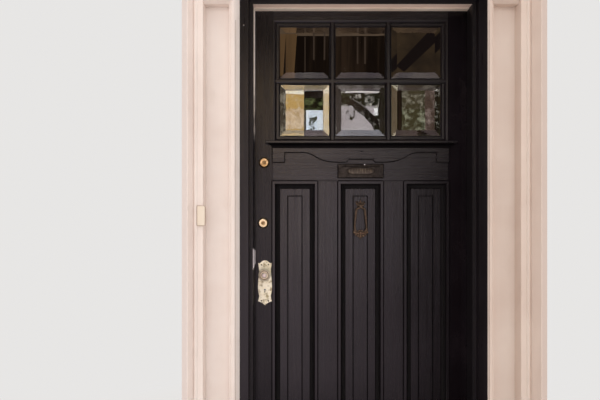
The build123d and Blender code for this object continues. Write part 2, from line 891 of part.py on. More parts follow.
with BuildPart() as letter_flap:
    block(-flap_w / 2, flap_w / 2, pin_y - flap_t / 2, pin_y + flap_t / 2, flap_bottom, flap_pin_z)
    with Locations(Location((0, pin_y, flap_pin_z), (0, 90, 0))):
        Cylinder(flap_barrel_r, flap_w)
        Cylinder(flap_pin_r, flap_w + 2 * flap_pin_length)
    with BuildSketch(facing(0, letter_z, pin_y - flap_t / 2)):
        SlotOverall(label_w, label_h)
        SlotOverall(label_w - 2 * label_rim, label_h - 2 * label_rim, mode=Mode.SUBTRACT)
    extrude(amount=label_rim_out)
save(letter_flap.part, "letter_flap")

# Knocker: a spiked crown with two scrolls, an arched ring with a winged foot and a stud behind it
pivot_z = knocker_top - knocker_pin_drop
pivot_y = panel_set_back - knocker_stand_off
foot_z = pivot_z - knocker_length
lug_in = knocker_eye_half + knocker_pin_r / 4
lug_out = lug_in + knocker_lug_w
with BuildPart() as knocker_plate:
    with BuildSketch(facing(0, pivot_z, panel_set_back)):
        waist = (crown_half * 0.46, knocker_pin_drop * 0.43)
        chin = (crown_half * 0.66, -knocker_eye_r * 1.1)
        with BuildLine():
            Spline((0, knocker_pin_drop), (crown_half * 0.18, knocker_pin_drop * 0.54), waist,
                   tangents=((0.15, -1), (1, 0)))
            Spline(waist, (crown_half * 0.72, knocker_pin_drop * 0.58),
                   (crown_half, knocker_pin_drop * 0.38), (crown_half * 0.86, knocker_pin_drop * 0.12),
                   chin)
            Line(chin, (0, -knocker_eye_r * 1.6))
            mirror(about=Plane.YZ)
        make_face()
        scroll_x, scroll_rise = crown_half * 0.72, knocker_pin_drop * 0.34
        with Locations((-scroll_x, scroll_rise), (scroll_x, scroll_rise)):
            Circle(scroll_r, mode=Mode.SUBTRACT)
    extrude(amount=crown_t)
    chamfer(knocker_plate.faces().sort_by(Axis.Y)[0].edges(), crown_t / 5)
    for side in sides.values():
        block(side * lug_in, side * lug_out, pivot_y, panel_set_back - crown_t,
              pivot_z - knocker_eye_r, pivot_z + knocker_eye_r)
        with Locations(Location((side * (lug_in + lug_out) / 2, pivot_y, pivot_z), (0, 90, 0))):
            Cylinder(knocker_eye_r, knocker_lug_w)
    with Locations(Location((0, pivot_y, pivot_z), (0, 90, 0))):
        Cylinder(knocker_pin_r, 2 * lug_out)
save(knocker_plate.part, "knocker_plate")

foot_half = knocker_foot_half
shoulder = (knocker_eye_half, -knocker_eye_r * 1.4)
wing_tip = (foot_half, -knocker_length * 0.82)
cheek = (foot_half * 0.42, -knocker_length * 0.775)
with BuildPart() as knocker_ring:
    with BuildSketch(facing(0, pivot_z, pivot_y + knocker_t / 2)):
        with BuildLine():
            Line((0, 0), (knocker_eye_half, 0))
            Line((knocker_eye_half, 0), shoulder)
            Spline(shoulder, (foot_half * 0.6, -knocker_length * 0.09),
                   (foot_half * 0.77, -knocker_length * 0.24), (foot_half * 0.87, -knocker_length * 0.57),
                   (foot_half * 0.91, -knocker_length * 0.71), wing_tip)
            Spline(wing_tip, (foot_half * 0.66, -knocker_length * 0.89), (0, -knocker_length))
            mirror(about=Plane.YZ)
        make_face()
        with BuildLine():
            Spline((0, -knocker_length * 0.094), (foot_half * 0.33, -knocker_length * 0.14),
                   (foot_half * 0.45, -knocker_length * 0.245), (foot_half * 0.62, -knocker_length * 0.57),
                   (foot_half * 0.59, -knocker_length * 0.71), cheek)
            Line(cheek, (0, -knocker_length * 0.73))
            mirror(about=Plane.YZ)
        make_face(mode=Mode.SUBTRACT)
    extrude(amount=knocker_t)
    chamfer(knocker_ring.faces().sort_by(Axis.Y)[0].edges(), knocker_t / 5)
    with Locations(Location((0, pivot_y, pivot_z), (0, 90, 0))):
        Cylinder(knocker_eye_r, 2 * knocker_eye_half)
        Cylinder(knocker_pin_r + running, 2 * lug_out, mode=Mode.SUBTRACT)
save(knocker_ring.part, "knocker_ring")

stud_length = knocker_stand_off - knocker_t / 2 - stud_gap
with BuildPart() as knocker_stud:
    with BuildSketch(facing(0, foot_z + knocker_length * 0.13, panel_set_back)):
        Circle(stud_r)
    extrude(amount=stud_length)
    chamfer(knocker_stud.faces().sort_by(Axis.Y)[0].edges(), stud_length / 5)
save(knocker_stud.part, "knocker_stud")


# Two rim locks: key cylinder outside, thumb turn inside, bolt between
def make_cylinder(x, z):
    with BuildPart() as piece:
        add(turned(x, z, [
            (0, -cylinder_body_length),
            (cylinder_body_r, -cylinder_body_length),
            (cylinder_body_r, 0),
            (cylinder_r, 0),
            (cylinder_r, 3),
            (cylinder_r - 4, cylinder_out - 2),
            (cylinder_r - 6, cylinder_out),
            (plug_r + 2, cylinder_out),
            (plug_r + 1, cylinder_out - 1),
            (0, cylinder_out - 1),
        ]))
        hole(x, z, plug_r + running, -cylinder_out, cylinder_body_length)
    return piece.part


def make_plug(x, z):
    with BuildPart() as piece:
        add(turned(x, z, [
            (0, -cylinder_body_length),
            (plug_r, -cylinder_body_length),
            (plug_r, cylinder_out - 1 + plug_proud),
            (0, cylinder_out - 1 + plug_proud),
        ]))
        block(x - key_slot_w / 2, x + key_slot_w / 2, -cylinder_out - plug_proud, 0,
              z - key_slot_h / 2, z + key_slot_h / 2, mode=Mode.SUBTRACT)
    return piece.part


def make_rose(x, z):
    with BuildPart() as piece:
        add(turned(x, z, [
            (0, -door_t),
            (rose_r, -door_t),
            (rose_r - 1, -door_t - rose_t),
            (0, -door_t - rose_t),
        ]))
        hole(x, z, turn_shaft_r + running, door_t, door_t + rose_t)
    return piece.part


def make_turn(x, z):
    tail_end = door_t - rose_t
    knob_start = door_t + rose_t + fit
    with BuildPart() as piece:
        block(x - tail_t / 2, x + tail_t / 2, cylinder_body_length, tail_end,
              z - tail_w / 2, z + tail_w / 2)
        add(turned(x, z, [
            (0, -tail_end),
            (turn_shaft_r, -tail_end),
            (turn_shaft_r, -knob_start),
            (2 * turn_shaft_r, -knob_start),
            (turn_shaft_r, -knob_start - turn_shaft_r),
            (0, -knob_start - turn_shaft_r),
        ]))
        with BuildSketch(Plane.XZ.offset(-knob_start)):
            with Locations((x, z)):
                SlotOverall(turn_length, turn_t, rotation=90)
        extrude(amount=-turn_out)
    return piece.part


def make_deadbolt(x, z):
    with BuildPart() as piece:
        block(-half_w + bolt_set_in, -half_w + bolt_set_in + deadbolt_length,
              lock_y - deadbolt_t / 2, lock_y + deadbolt_t / 2, z - deadbolt_h / 2, z + deadbolt_h / 2)
        chamfer(piece.faces().sort_by(Axis.X)[0].edges(), deadbolt_t / 12)
    return piece.part


for word, place in (("upper", upper_lock), ("lower", lower_lock)):
    save(make_plug(*place), "plug_" + word)
    save(make_turn(*place), "thumb_turn_" + word)
    save(make_deadbolt(*place), "bolt_" + word)
save(Compound(children=[make_cylinder(*upper_lock), make_cylinder(*lower_lock)]), "key_cylinders")
save(Compound(children=[make_rose(*upper_lock), make_rose(*lower_lock)]), "turn_roses")


# Mortise lock: case with its forend, latch and bolt
def lock_channel(z, height, length):
    block(-half_w, -half_w + bolt_set_in + length + bolt_play, lock_y - deadbolt_t / 2 - bolt_play,
          lock_y + deadbolt_t / 2 + bolt_play, z - height / 2 - bolt_play, z + height / 2 + bolt_play,
          mode=Mode.SUBTRACT)


with BuildPart() as lock_case:
    block(-half_w + forend_t, -half_w + case_depth, lock_y - case_t / 2, lock_y + case_t / 2,
          case_bottom, case_top)
    block(-half_w, -half_w + forend_t, lock_y - forend_w / 2, lock_y + forend_w / 2,
          case_bottom - forend_margin, case_top + forend_margin)
    lock_channel(knob_z, latch_h, latch_length)
    lock_channel(mortise_bolt_z, mortise_bolt_h, mortise_bolt_length)
    hole(-spindle_x, knob_z, spindle_w, 0, door_t)
    hole(-spindle_x, key_z, key_hole_r, 0, door_t)
save(lock_case.part, "lock_case")

with BuildPart() as latch_bolt:
    with BuildSketch(Plane.XY.offset(knob_z - latch_h / 2)):
        with BuildLine():
            nose = -half_w + bolt_set_in
            Polyline(
                (nose, lock_y + deadbolt_t / 2),
                (nose, lock_y + deadbolt_t / 2 - 2),
                (nose + latch_throw, lock_y - deadbolt_t / 2),
                (nose + latch_length, lock_y - deadbolt_t / 2),
                (nose + latch_length, lock_y + deadbolt_t / 2),
                close=True,
            )
        make_face()
    extrude(amount=latch_h)
save(latch_bolt.part, "latch_bolt")

with BuildPart() as mortise_bolt:
    block(-half_w + bolt_set_in, -half_w + bolt_set_in + mortise_bolt_length,
          lock_y - deadbolt_t / 2, lock_y + deadbolt_t / 2,
          mortise_bolt_z - mortise_bolt_h / 2, mortise_bolt_z + mortise_bolt_h / 2)
    chamfer(mortise_bolt.faces().sort_by(Axis.X)[0].edges(), deadbolt_t / 12)
save(mortise_bolt.part, "mortise_bolt")

# Escutcheons, knobs and spindle
plate_z = knob_z - escutcheon_drop
half_plate = escutcheon_w / 2
half_long = escutcheon_h / 2


def escutcheon_outline():
    """Waisted outline with an eared top and foot."""
    with BuildSketch() as outline:
        with BuildLine():
            ThreePointArc((0, half_long), (half_plate * 0.45, half_long * 0.945),
                          (half_plate * 0.6, half_long * 0.9))
            ThreePointArc((half_plate * 0.6, half_long * 0.9), (half_plate * 0.8, half_long * 0.875),
                          (half_plate * 0.98, half_long * 0.88))
            ThreePointArc((half_plate * 0.98, half_long * 0.88), (half_plate * 0.9, half_long * 0.73),
                          (half_plate * 0.83, half_long * 0.6))
            Spline((half_plate * 0.83, half_long * 0.6), (half_plate * 0.9, half_long * 0.3),
                   (half_plate, -half_long * 0.12), (half_plate * 0.84, -half_long * 0.56))
            ThreePointArc((half_plate * 0.84, -half_long * 0.56),
                          (half_plate * 0.88, -half_long * 0.7),
                          (half_plate, -half_long * 0.82))
            ThreePointArc((half_plate, -half_long * 0.82), (half_plate * 0.6, -half_long * 0.87),
                          (0, -half_long))
            mirror(about=Plane.YZ)
        make_face()
    return outline.sketch


def make_escutcheon(face_y, out):
    """Plate with a stepped edge, a knob hole and a keyhole."""
    step = escutcheon_t / 2
    with BuildPart() as piece:
        with BuildSketch(facing(-spindle_x, plate_z, face_y)):
            add(escutcheon_outline())
        extrude(amount=out * step)
        with BuildSketch(facing(-spindle_x, plate_z, face_y - out * step)):
            add(escutcheon_outline())
            scale(by=escutcheon_step)
        extrude(amount=out * step)
        inside = sorted((face_y, face_y - out * escutcheon_t))
        hole(-spindle_x, knob_z, knob_shank_r + running, *inside)
        hole(-spindle_x, key_z, key_hole_r, *inside)
        block(-spindle_x - key_hole_r / 2, -spindle_x + key_hole_r / 2, *inside,
              key_z - key_slot_drop, key_z, mode=Mode.SUBTRACT)
    return piece.part


save(make_escutcheon(0, 1), "escutcheon")
save(make_escutcheon(door_t, -1), "inner_escutcheon")


def make_knob(flip):
    """Turned knob with a raised rim and a boss on its face. flip gives the one on the inside of the door."""
    def out(height):
        return height if not flip else -door_t - height

    outline = [
        (0, out(-5)),
        (knob_shank_r, out(-5)),
        (knob_shank_r, out(12)),
        (knob_neck_r, out(14)),
        (knob_neck_r, out(knob_out * 0.42)),
        (knob_neck_r + 2, out(knob_out * 0.55)),
        (knob_r * 0.7, out(knob_out * 0.66)),
        (knob_r * 0.94, out(knob_out * 0.74)),
        (knob_r, out(knob_out * 0.82)),
        (knob_r * 0.98, out(knob_out * 0.89)),
        (knob_r * 0.9, out(knob_out * 0.95)),
        (knob_r * 0.8, out(knob_out * 0.97)),
        (knob_r * 0.72, out(knob_out * 0.95)),
        (knob_r * 0.66, out(knob_out * 0.9)),
        (knob_r * 0.52, out(knob_out * 0.9)),
        (knob_r * 0.46, out(knob_out * 0.94)),
        (knob_r * 0.32, out(knob_out * 0.98)),
        (knob_r * 0.16, out(knob_out)),
        (0, out(knob_out)),
    ]
    with BuildPart() as piece:
        add(turned(-spindle_x, knob_z, outline))
        y0, y1 = sorted((-out(-5), -out(knob_out * 0.7)))
        side = (spindle_w + fit) / 2
        block(-spindle_x - side, -spindle_x + side, y0, y1, knob_z - side, knob_z + side,
              mode=Mode.SUBTRACT)
    return piece.part


save(make_knob(False), "outer_knob")
save(make_knob(True), "inner_knob")

spindle_end = knob_out * 0.65
with BuildPart() as spindle:
    block(-spindle_x - spindle_w / 2, -spindle_x + spindle_w / 2, -spindle_end, door_t + spindle_end,
          knob_z - spindle_w / 2, knob_z + spindle_w / 2)
save(spindle.part, "spindle")

# Butt hinges: frame leaves, door leaves and pins
knuckle_h = hinge_h / 5


def make_leaf(z, x0, x1, knuckles):
    """One leaf with its knuckles, counted from the foot of the hinge."""
    low = z - hinge_h / 2
    with BuildPart() as piece:
        block(x0, x1, door_t - hinge_leaf_w, door_t, low, low + hinge_h)
        for n in knuckles:
            z0 = low + n * knuckle_h + knuckle_gap / 2
            z1 = low + (n + 1) * knuckle_h - knuckle_gap / 2
            block(x0, x1, door_t, hinge_y, z0, z1)
            with Locations((hinge_x, hinge_y, (z0 + z1) / 2)):
                Cylinder(knuckle_r, z1 - z0)
        with Locations((hinge_x, hinge_y, z)):
            Cylinder(pin_r + running, hinge_h, mode=Mode.SUBTRACT)
    return piece.part


def make_pin(z):
    with BuildPart() as piece:
        with Locations((hinge_x, hinge_y, z)):
            Cylinder(pin_r, hinge_h)
        for end in (-1, 1):
            with Locations((hinge_x, hinge_y, z + end * (hinge_h + pin_head_h) / 2)):
                Cylinder(pin_head_r, pin_head_h)
        chamfer(piece.faces().sort_by(Axis.Z)[0].edges(), pin_head_h / 4)
        chamfer(piece.faces().sort_by(Axis.Z)[-1].edges(), pin_head_h / 4)
    return piece.part


frame_leaves = [make_leaf(z, jamb_in, jamb_in + hinge_leaf_t, (0, 2, 4)) for z in hinge_heights]
door_leaves = [make_leaf(z, half_w - hinge_leaf_t, half_w, (1, 3)) for z in hinge_heights]
save(Compound(children=frame_leaves), "hinge_frame_leaves")
save(Compound(children=door_leaves), "hinge_door_leaves")
save(Compound(children=[make_pin(z) for z in hinge_heights]), "hinge_pins")
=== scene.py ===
import math
import random

import bmesh
import bpy
from mathutils import Matrix, Vector


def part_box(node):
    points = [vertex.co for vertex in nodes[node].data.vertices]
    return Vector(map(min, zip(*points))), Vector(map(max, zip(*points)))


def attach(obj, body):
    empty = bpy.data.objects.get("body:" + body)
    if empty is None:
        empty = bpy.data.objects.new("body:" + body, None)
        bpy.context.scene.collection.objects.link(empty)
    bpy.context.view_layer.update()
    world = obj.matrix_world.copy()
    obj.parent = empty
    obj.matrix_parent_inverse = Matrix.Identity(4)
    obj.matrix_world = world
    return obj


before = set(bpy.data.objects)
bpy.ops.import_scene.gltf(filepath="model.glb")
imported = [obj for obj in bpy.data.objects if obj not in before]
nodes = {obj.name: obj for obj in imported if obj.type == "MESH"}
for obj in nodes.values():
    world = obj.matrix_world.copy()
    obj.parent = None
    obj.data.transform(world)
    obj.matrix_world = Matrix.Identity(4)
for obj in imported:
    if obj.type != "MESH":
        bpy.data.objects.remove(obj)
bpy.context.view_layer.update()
random.seed(7)
scene = bpy.context.scene

# Places in the CAD model that no box of a node gives. The leaf's front is at Y 0.
HINGE_HEIGHTS = (0.290, 1.076, 1.862)
STRIKE_ENDS = ((1.444, 1.503), (1.205, 1.264), (0.954, 1.063))
PIVOT_Z = 1.305
APRON_FRONT = -0.006
FRAME_FRONT = -0.110
PANEL_FACE = 0.014
LEAF_MIDDLE = 0.022
LEAF_EDGE = 0.432
JAMB_FACE = 0.435
RAIL_JOINT_Z = 1.4012
RAIL_JOINT_ENDS = (0.0935, 0.1670)
PILASTER_JOINT_X = 0.4900
PILASTER_JOINT_ENDS = (0.02, 2.02)

OUT = (0, -1, 0)
IN = (0, 1, 0)

# Camera: level, looking straight into the doorway, where the photograph was taken from
CAMERA_PLACE = (-0.2402, -2.311, 1.3257)
LENS = 34.98
SENSOR = 36
IMAGE_W, IMAGE_H = 600, 400

camera = bpy.data.objects.new("camera", bpy.data.cameras.new("camera"))
scene.collection.objects.link(camera)
camera.location = CAMERA_PLACE
camera.rotation_euler = (math.radians(90), 0, 0)
camera.data.lens = LENS
camera.data.sensor_width = SENSOR
camera.data.sensor_fit = "HORIZONTAL"
camera.data.clip_end = 200
scene.camera = camera


def seen(px, py, y):
    """The point on the plane at depth y that the photograph shows at this pixel."""
    k = (y - CAMERA_PLACE[1]) * SENSOR / LENS / IMAGE_W
    return Vector((CAMERA_PLACE[0] + (px - IMAGE_W / 2) * k, y, CAMERA_PLACE[2] - (py - IMAGE_H / 2) * k))


# Shader trees
class Tree:
    """The node tree of a material or the world, with short calls to add nodes to it."""

    def __init__(self, owner, coords="Object"):
        owner.use_nodes = True
        self.tree = owner.node_tree
        self.coords = self.node("TexCoord").outputs[coords]

    def node(self, kind, inputs=None, **settings):
        node = self.tree.nodes.new("ShaderNode" + kind)
        for key, value in settings.items():
            setattr(node, key, value)
        for key, value in (inputs or {}).items():
            self.join(value, node.inputs[key])
        return node

    def join(self, value, socket):
        """Links the socket to another one, or gives it a number, a vector or an RGB colour."""
        if isinstance(value, bpy.types.NodeSocket):
            self.tree.links.new(value, socket)
        else:
            socket.default_value = (*value, 1) if socket.type == "RGBA" else value

    def math(self, operation, a, b=0.0):
        return self.node("Math", {0: a, 1: b}, operation=operation).outputs[0]

    def both(self, a, b):
        return self.math("MULTIPLY", a, b)

    def span(self, value, low, high, start=0.0, end=1.0):
        """value between low and high becomes start to end."""
        return self.node("MapRange", {"Value": value, "From Min": low, "From Max": high,
                                      "To Min": start, "To Max": end}).outputs[0]

    def axis(self, letter, vector=None):
        return self.node("SeparateXYZ", {"Vector": vector or self.coords}).outputs[letter]

    def length(self, vector):
        return self.node("VectorMath", {0: vector}, operation="LENGTH").outputs["Value"]

    def shown_rays(self):
        """1 for rays of the camera, mirrors and glass, and 0 for the light that falls on the object."""
        rays = self.node("LightPath").outputs
        indirect = self.math("MAXIMUM", rays["Is Glossy Ray"], rays["Is Transmission Ray"])
        return self.math("MAXIMUM", rays["Is Camera Ray"], indirect)

    def blend(self, factor, first, second):
        return self.node("MixShader", {0: factor, 1: first, 2: second}).outputs[0]

    def show(self, surface):
        output = next(n for n in self.tree.nodes if n.type.startswith("OUTPUT"))
        self.join(surface, output.inputs["Surface"])


class Shader(Tree):
    """A material round a Principled BSDF. Its tone is what its Base Color shows so far."""

    def __init__(self, name, **inputs):
        self.material = bpy.data.materials.new(name)
        super().__init__(self.material)
        self.bsdf = self.tree.nodes["Principled BSDF"]
        self.bumps = None
        for key, value in inputs.items():
            self.put(key.replace("_", " "), value)

    def put(self, key, value):
        self.join(value, self.bsdf.inputs[key])

    def noise(self, scale, detail=4, rough=0.55, stretch=(1, 1, 1)):
        """Noise from 0 to 1. A stretch below 1 draws the pattern out along that axis."""
        mapping = self.node("Mapping", {"Vector": self.coords, "Scale": stretch})
        return self.node("TexNoise", {"Vector": mapping.outputs[0], "Scale": scale, "Detail": detail,
                                      "Roughness": rough}).outputs["Fac"]

    def normal(self, letter):
        return self.axis(letter, self.node("NewGeometry").outputs["Normal"])

    def near(self, value, place, width):
        """1 where value is at place, falling to 0 at width from it."""
        return self.span(self.math("ABSOLUTE", self.math("SUBTRACT", value, place)), 0.0, width, 1.0, 0.0)

    def mix(self, factor, a, b, blend="MIX"):
        return self.node("Mix", {0: factor, 6: a, 7: b}, data_type="RGBA", blend_type=blend).outputs[2]

    def cover(self, mask, colour, blend="MIX"):
        """Lays colour over the tone where mask is 1."""
        self.tone = self.mix(mask, self.tone, colour, blend)
        self.put("Base Color", self.tone)

    def bump(self, height, distance, strength=1.0):
        inputs = {"Height": height, "Distance": distance, "Strength": strength}
        if self.bumps:
            inputs["Normal"] = self.bumps
        self.bumps = self.node("Bump", inputs).outputs[0]
        self.put("Normal", self.bumps)


def gloss_paint(name, colours, rough, grain, dirt_amount=0.3, marks=0.5, specular=0.5):
    """Brushed oil paint in dark, light and dirt: marks along the grain, slow changes of tone, and dirt."""
    dark, light, dirt = colours
    shader = Shader(name, Specular_IOR_Level=specular)
    brush = shader.noise(90, 5, 0.6, grain)
    cloud = shader.noise(3.5, 3, 0.6)
    shader.tone = shader.mix(shader.span(cloud, 0.35, 0.65), dark, light)
    shader.cover(shader.span(brush, 0.3, 0.75, 0.0, 0.35), light)
    soil = shader.noise(14, 6, 0.7, (1, 1, 0.35))
    shader.cover(shader.span(soil, 0.55, 0.8, 0.0, dirt_amount), dirt)
    shader.put("Roughness", shader.span(brush, 0.2, 0.8, rough - 0.06, rough + 0.1))
    shader.bump(brush, 0.0004, marks)
    shader.bump(shader.noise(24, 4, 0.5), 0.0006, 0.35)
    return shader


def metal(name, colours, rough, tarnish_rough, amount=(0.5, 0.75), scale=60, metallic=1.0):
    """Metal in dark, light and tarnish, which lies on it in spots."""
    dark, light, tarnish = colours
    shader = Shader(name, Metallic=metallic)
    cloud = shader.noise(scale, 5, 0.65)
    patch = shader.noise(scale * 2.4, 5, 0.7)
    shader.tone = shader.mix(shader.span(cloud, 0.35, 0.7), dark, light)
    spots = shader.span(patch, *amount)
    shader.cover(spots, tarnish)
    shader.put("Roughness", shader.span(spots, 0, 1, rough, tarnish_rough))
    shader.bump(cloud, 0.0002, 0.5)
    return shader


# Paint: each set of colours is dark, light and dirt
ALONG_X = (0.04, 1, 1)
ALONG_Z = (1, 1, 0.04)
NO_GRAIN = (1, 1, 1)
BLACK = (0.0012, 0.0007, 0.0008)
DOOR_DARK = (0.0026, 0.0015, 0.0020)
DOOR_LIGHT = (0.0068, 0.0044, 0.0058)
DOOR = (DOOR_DARK, DOOR_LIGHT, (0.022, 0.015, 0.016))
SHADE = (BLACK, DOOR_DARK, DOOR_DARK)
WHITE_DIRT = (0.55, 0.42, 0.34)
WHITE = ((0.86, 0.74, 0.68), (0.94, 0.84, 0.785), WHITE_DIRT)
BAND_WHITE = ((0.86, 0.74, 0.685), (0.94, 0.83, 0.775), WHITE_DIRT)
BELL_WHITE = ((0.80, 0.68, 0.55), (0.90, 0.79, 0.66), WHITE_DIRT)
WHITE_SHADE = ((0.42, 0.30, 0.23), WHITE_DIRT, WHITE_DIRT)
SILL_GREY = ((0.10, 0.095, 0.09), (0.16, 0.15, 0.14), (0.05, 0.04, 0.035))
STRIP_CREAM = ((0.76, 0.60, 0.49), (0.90, 0.76, 0.65), (0.30, 0.19, 0.13))

door_paint_across = gloss_paint("door_paint_across", DOOR, 0.25, ALONG_X)
frame_paint = gloss_paint("frame_paint", DOOR, 0.3, ALONG_Z, specular=0.42)
# Painted shade: near-black, dull paint for the bed moulding under the shelf and for the crease lines. The
# nail heads on the apron wear it too.
shade_paint = gloss_paint("shade_paint", SHADE, 0.5, ALONG_X, specular=0.1)
glazing_paint = gloss_paint("glazing_paint", (DOOR_DARK, DOOR_LIGHT, DOOR_DARK), 0.3, NO_GRAIN, marks=0.1)
# Painted shade: the stiles are copies of the door paint with weaker gloss, and the hinge stile's gloss is the
# weakest
stile_shade_paint = gloss_paint("stile_shade_paint", DOOR, 0.25, ALONG_Z, specular=0.32)
hinge_shade_paint = gloss_paint("hinge_shade_paint", DOOR, 0.15, ALONG_Z, specular=0.2)

# Painted shade keeps the incised lines black and dull, from their rims in the panels' faces to their floors
door_paint_up = gloss_paint("door_paint_up", DOOR, 0.25, ALONG_Z)
RIM_Y, RIM_DARK_Y, FLOOR_DARK_Y, FLOOR_Y = 0.0143, 0.0150, 0.0168, 0.0175
groove_shade = door_paint_up.both(door_paint_up.span(door_paint_up.axis("Y"), RIM_Y, RIM_DARK_Y),
                              door_paint_up.span(door_paint_up.axis("Y"), FLOOR_Y, FLOOR_DARK_Y))
door_paint_up.cover(groove_shade, BLACK)
door_paint_up.put("Specular IOR Level", door_paint_up.span(groove_shade, 0, 1, 0.5, 0.1))

# The mouldings' fronts shine like the door, and painted shade keeps their hollows nearly black and dull
moulding_paint = gloss_paint("moulding_paint", DOOR, 0.25, ALONG_Z, marks=0.15)
HOLLOW_START, HOLLOW_BLACK = -0.0040, -0.0005
moulding_shade = moulding_paint.span(moulding_paint.axis("Y"), HOLLOW_START, HOLLOW_BLACK)
moulding_paint.cover(moulding_shade, BLACK)
moulding_paint.put("Roughness", moulding_paint.span(moulding_shade, 0, 1, 0.25, 0.8))

# The stops are black like the frame, and pink on the lower face of the one under the head
stop_paint = gloss_paint("stop_paint", DOOR, 0.45, ALONG_Z)
UNDERSIDE_LOW, UNDERSIDE_HIGH = 2.06, 2.07
underside = stop_paint.both(stop_paint.span(stop_paint.normal("Z"), -0.5, -0.9),
                            stop_paint.span(stop_paint.axis("Z"), UNDERSIDE_LOW, UNDERSIDE_HIGH))
stop_paint.cover(underside, stop_paint.mix(stop_paint.noise(30), (0.84, 0.60, 0.50), (0.93, 0.71, 0.62)))

# Draught strip: cream under the head, and worn down to black paint along the left stop
draught = gloss_paint("draught_strip", STRIP_CREAM, 0.5, ALONG_X)
WORN_BELOW, WORN_EDGE = 1.66, 0.12
worn_from = draught.math("ADD", draught.span(draught.noise(40, 4, 0.6, (1, 1, 0.3)), 0.3, 0.7,
                                             -WORN_EDGE, WORN_EDGE), WORN_BELOW)
draught.cover(draught.span(draught.normal("X"), 0.4, 0.8), (0.78, 0.70, 0.68))
draught.cover(draught.span(draught.math("SUBTRACT", draught.axis("Z"), worn_from), 0.10, -0.12), DOOR_LIGHT)

# White surround: painted shade makes the backband's front greyer and the right side a little darker than the
# left
white_up = gloss_paint("white_up", WHITE, 0.42, ALONG_Z, 0.16)
white_across = gloss_paint("white_across", WHITE, 0.42, ALONG_X, 0.16)
white_band = gloss_paint("white_band", BAND_WHITE, 0.46, ALONG_Z, 0.2)
white_shade = gloss_paint("white_shade", WHITE_SHADE, 0.6, ALONG_Z)
bell_paint = gloss_paint("bell_paint", BELL_WHITE, 0.45, ALONG_Z)
sill_paint = gloss_paint("sill_paint", SILL_GREY, 0.6, ALONG_X, 0.6)
front_face_shade = white_band.both(white_band.span(white_band.normal("Y"), -0.9, -1.0), 0.8)
white_band.cover(front_face_shade, (0.60, 0.505, 0.47))
# Painted shade on the right side of the surround
RIGHT_SHADE_FROM, RIGHT_SHADE_FULL = 0.30, 0.46
for paint in (white_up, white_across, white_band):
    paint.cover(paint.span(paint.axis("X"), RIGHT_SHADE_FROM, RIGHT_SHADE_FULL), (0.87, 0.82, 0.775), "MULTIPLY")

# Metal: each set of colours is dark, light and tarnish
bolt_brass = metal("bolt_brass", ((0.62, 0.45, 0.22), (0.8, 0.62, 0.34), (0.3, 0.2, 0.09)), 0.3, 0.5)
plug_brass = metal("plug_brass", ((0.24, 0.16, 0.07), (0.52, 0.36, 0.17), (0.06, 0.04, 0.02)), 0.4, 0.6)
furniture_brass = metal("furniture_brass", ((0.80, 0.72, 0.50), (1.0, 0.98, 0.80), (0.36, 0.29, 0.14)),
                        0.34, 0.5, (0.50, 0.64), 24, 0.5)
lock_steel = metal("lock_steel", ((0.42, 0.41, 0.40), (0.56, 0.55, 0.53), (0.22, 0.17, 0.13)), 0.34, 0.6)
threshold_metal = metal("threshold_metal", ((0.5, 0.48, 0.45), (0.66, 0.64, 0.6), (0.25, 0.22, 0.19)),
                        0.36, 0.6)
dark_screw = metal("dark_screw", ((0.045, 0.035, 0.026), (0.12, 0.095, 0.07), (0.02, 0.016, 0.012)),
                   0.42, 0.6)
keeper_metal = metal("keeper_metal", ((0.80, 0.70, 0.74), (0.96, 0.86, 0.90), (0.45, 0.38, 0.38)),
                     0.55, 0.7, metallic=0.1)
label_metal = metal("label_metal", ((0.17, 0.15, 0.125), (0.42, 0.37, 0.31), (0.035, 0.028, 0.025)),
                    0.45, 0.6, scale=120)

# The lower cylinder is paler than the upper one
cylinder_brass = metal("cylinder_brass", ((0.56, 0.38, 0.17), (0.92, 0.72, 0.42), (0.28, 0.17, 0.07)),
                       0.3, 0.5)
PALE_BELOW, PALE_FROM = 1.30, 1.28
cylinder_brass.cover(cylinder_brass.span(cylinder_brass.axis("Z"), PALE_BELOW, PALE_FROM, 0.0, 0.6),
                     (0.95, 0.84, 0.56))

# Knob: light rim, brown ring, pale ring and a pinkish boss. The rings are in parts of its radius.
knob_brass = metal("knob_brass", ((0.70, 0.58, 0.43), (0.92, 0.82, 0.64), (0.40, 0.30, 0.20)),
                   0.34, 0.5, (0.55, 0.75), metallic=0.55)
BROWN_RING, BROWN_WIDTH = 0.68, 0.13
BOSS_EDGE, BOSS_FULL = 0.40, 0.32
knob_low, knob_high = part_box("outer_knob")
knob_r = (knob_high.x - knob_low.x) / 2
from_knob = knob_brass.node("VectorMath", {0: knob_brass.coords, 1: (knob_low + knob_high) / 2},
                            operation="SUBTRACT").outputs[0]
from_knob = knob_brass.node("VectorMath", {0: from_knob, 1: (1 / knob_r, 0, 1 / knob_r)},
                            operation="MULTIPLY").outputs[0]
ring_at = knob_brass.length(from_knob)
knob_brass.cover(knob_brass.near(ring_at, BROWN_RING, BROWN_WIDTH), (0.24, 0.16, 0.10))
knob_brass.cover(knob_brass.span(ring_at, BOSS_EDGE, BOSS_FULL), (0.80, 0.66, 0.62))

# Knocker: painted shade keeps its sides dark
bronze = metal("bronze", ((0.055, 0.038, 0.026), (0.19, 0.125, 0.080), (0.02, 0.014, 0.010)),
               0.42, 0.6, (0.45, 0.7), 110, 0.6)
# The carving's paler bronze is a painted highlight
bronze_highlight = metal("bronze_highlight", ((0.26, 0.175, 0.11), (0.66, 0.48, 0.32), (0.03, 0.022, 0.018)),
                      0.4, 0.6, (0.5, 0.72), 150)
for shader in (bronze, bronze_highlight):
    shader.cover(shader.span(shader.normal("Y"), -0.93, -0.60), (0.010, 0.006, 0.005))
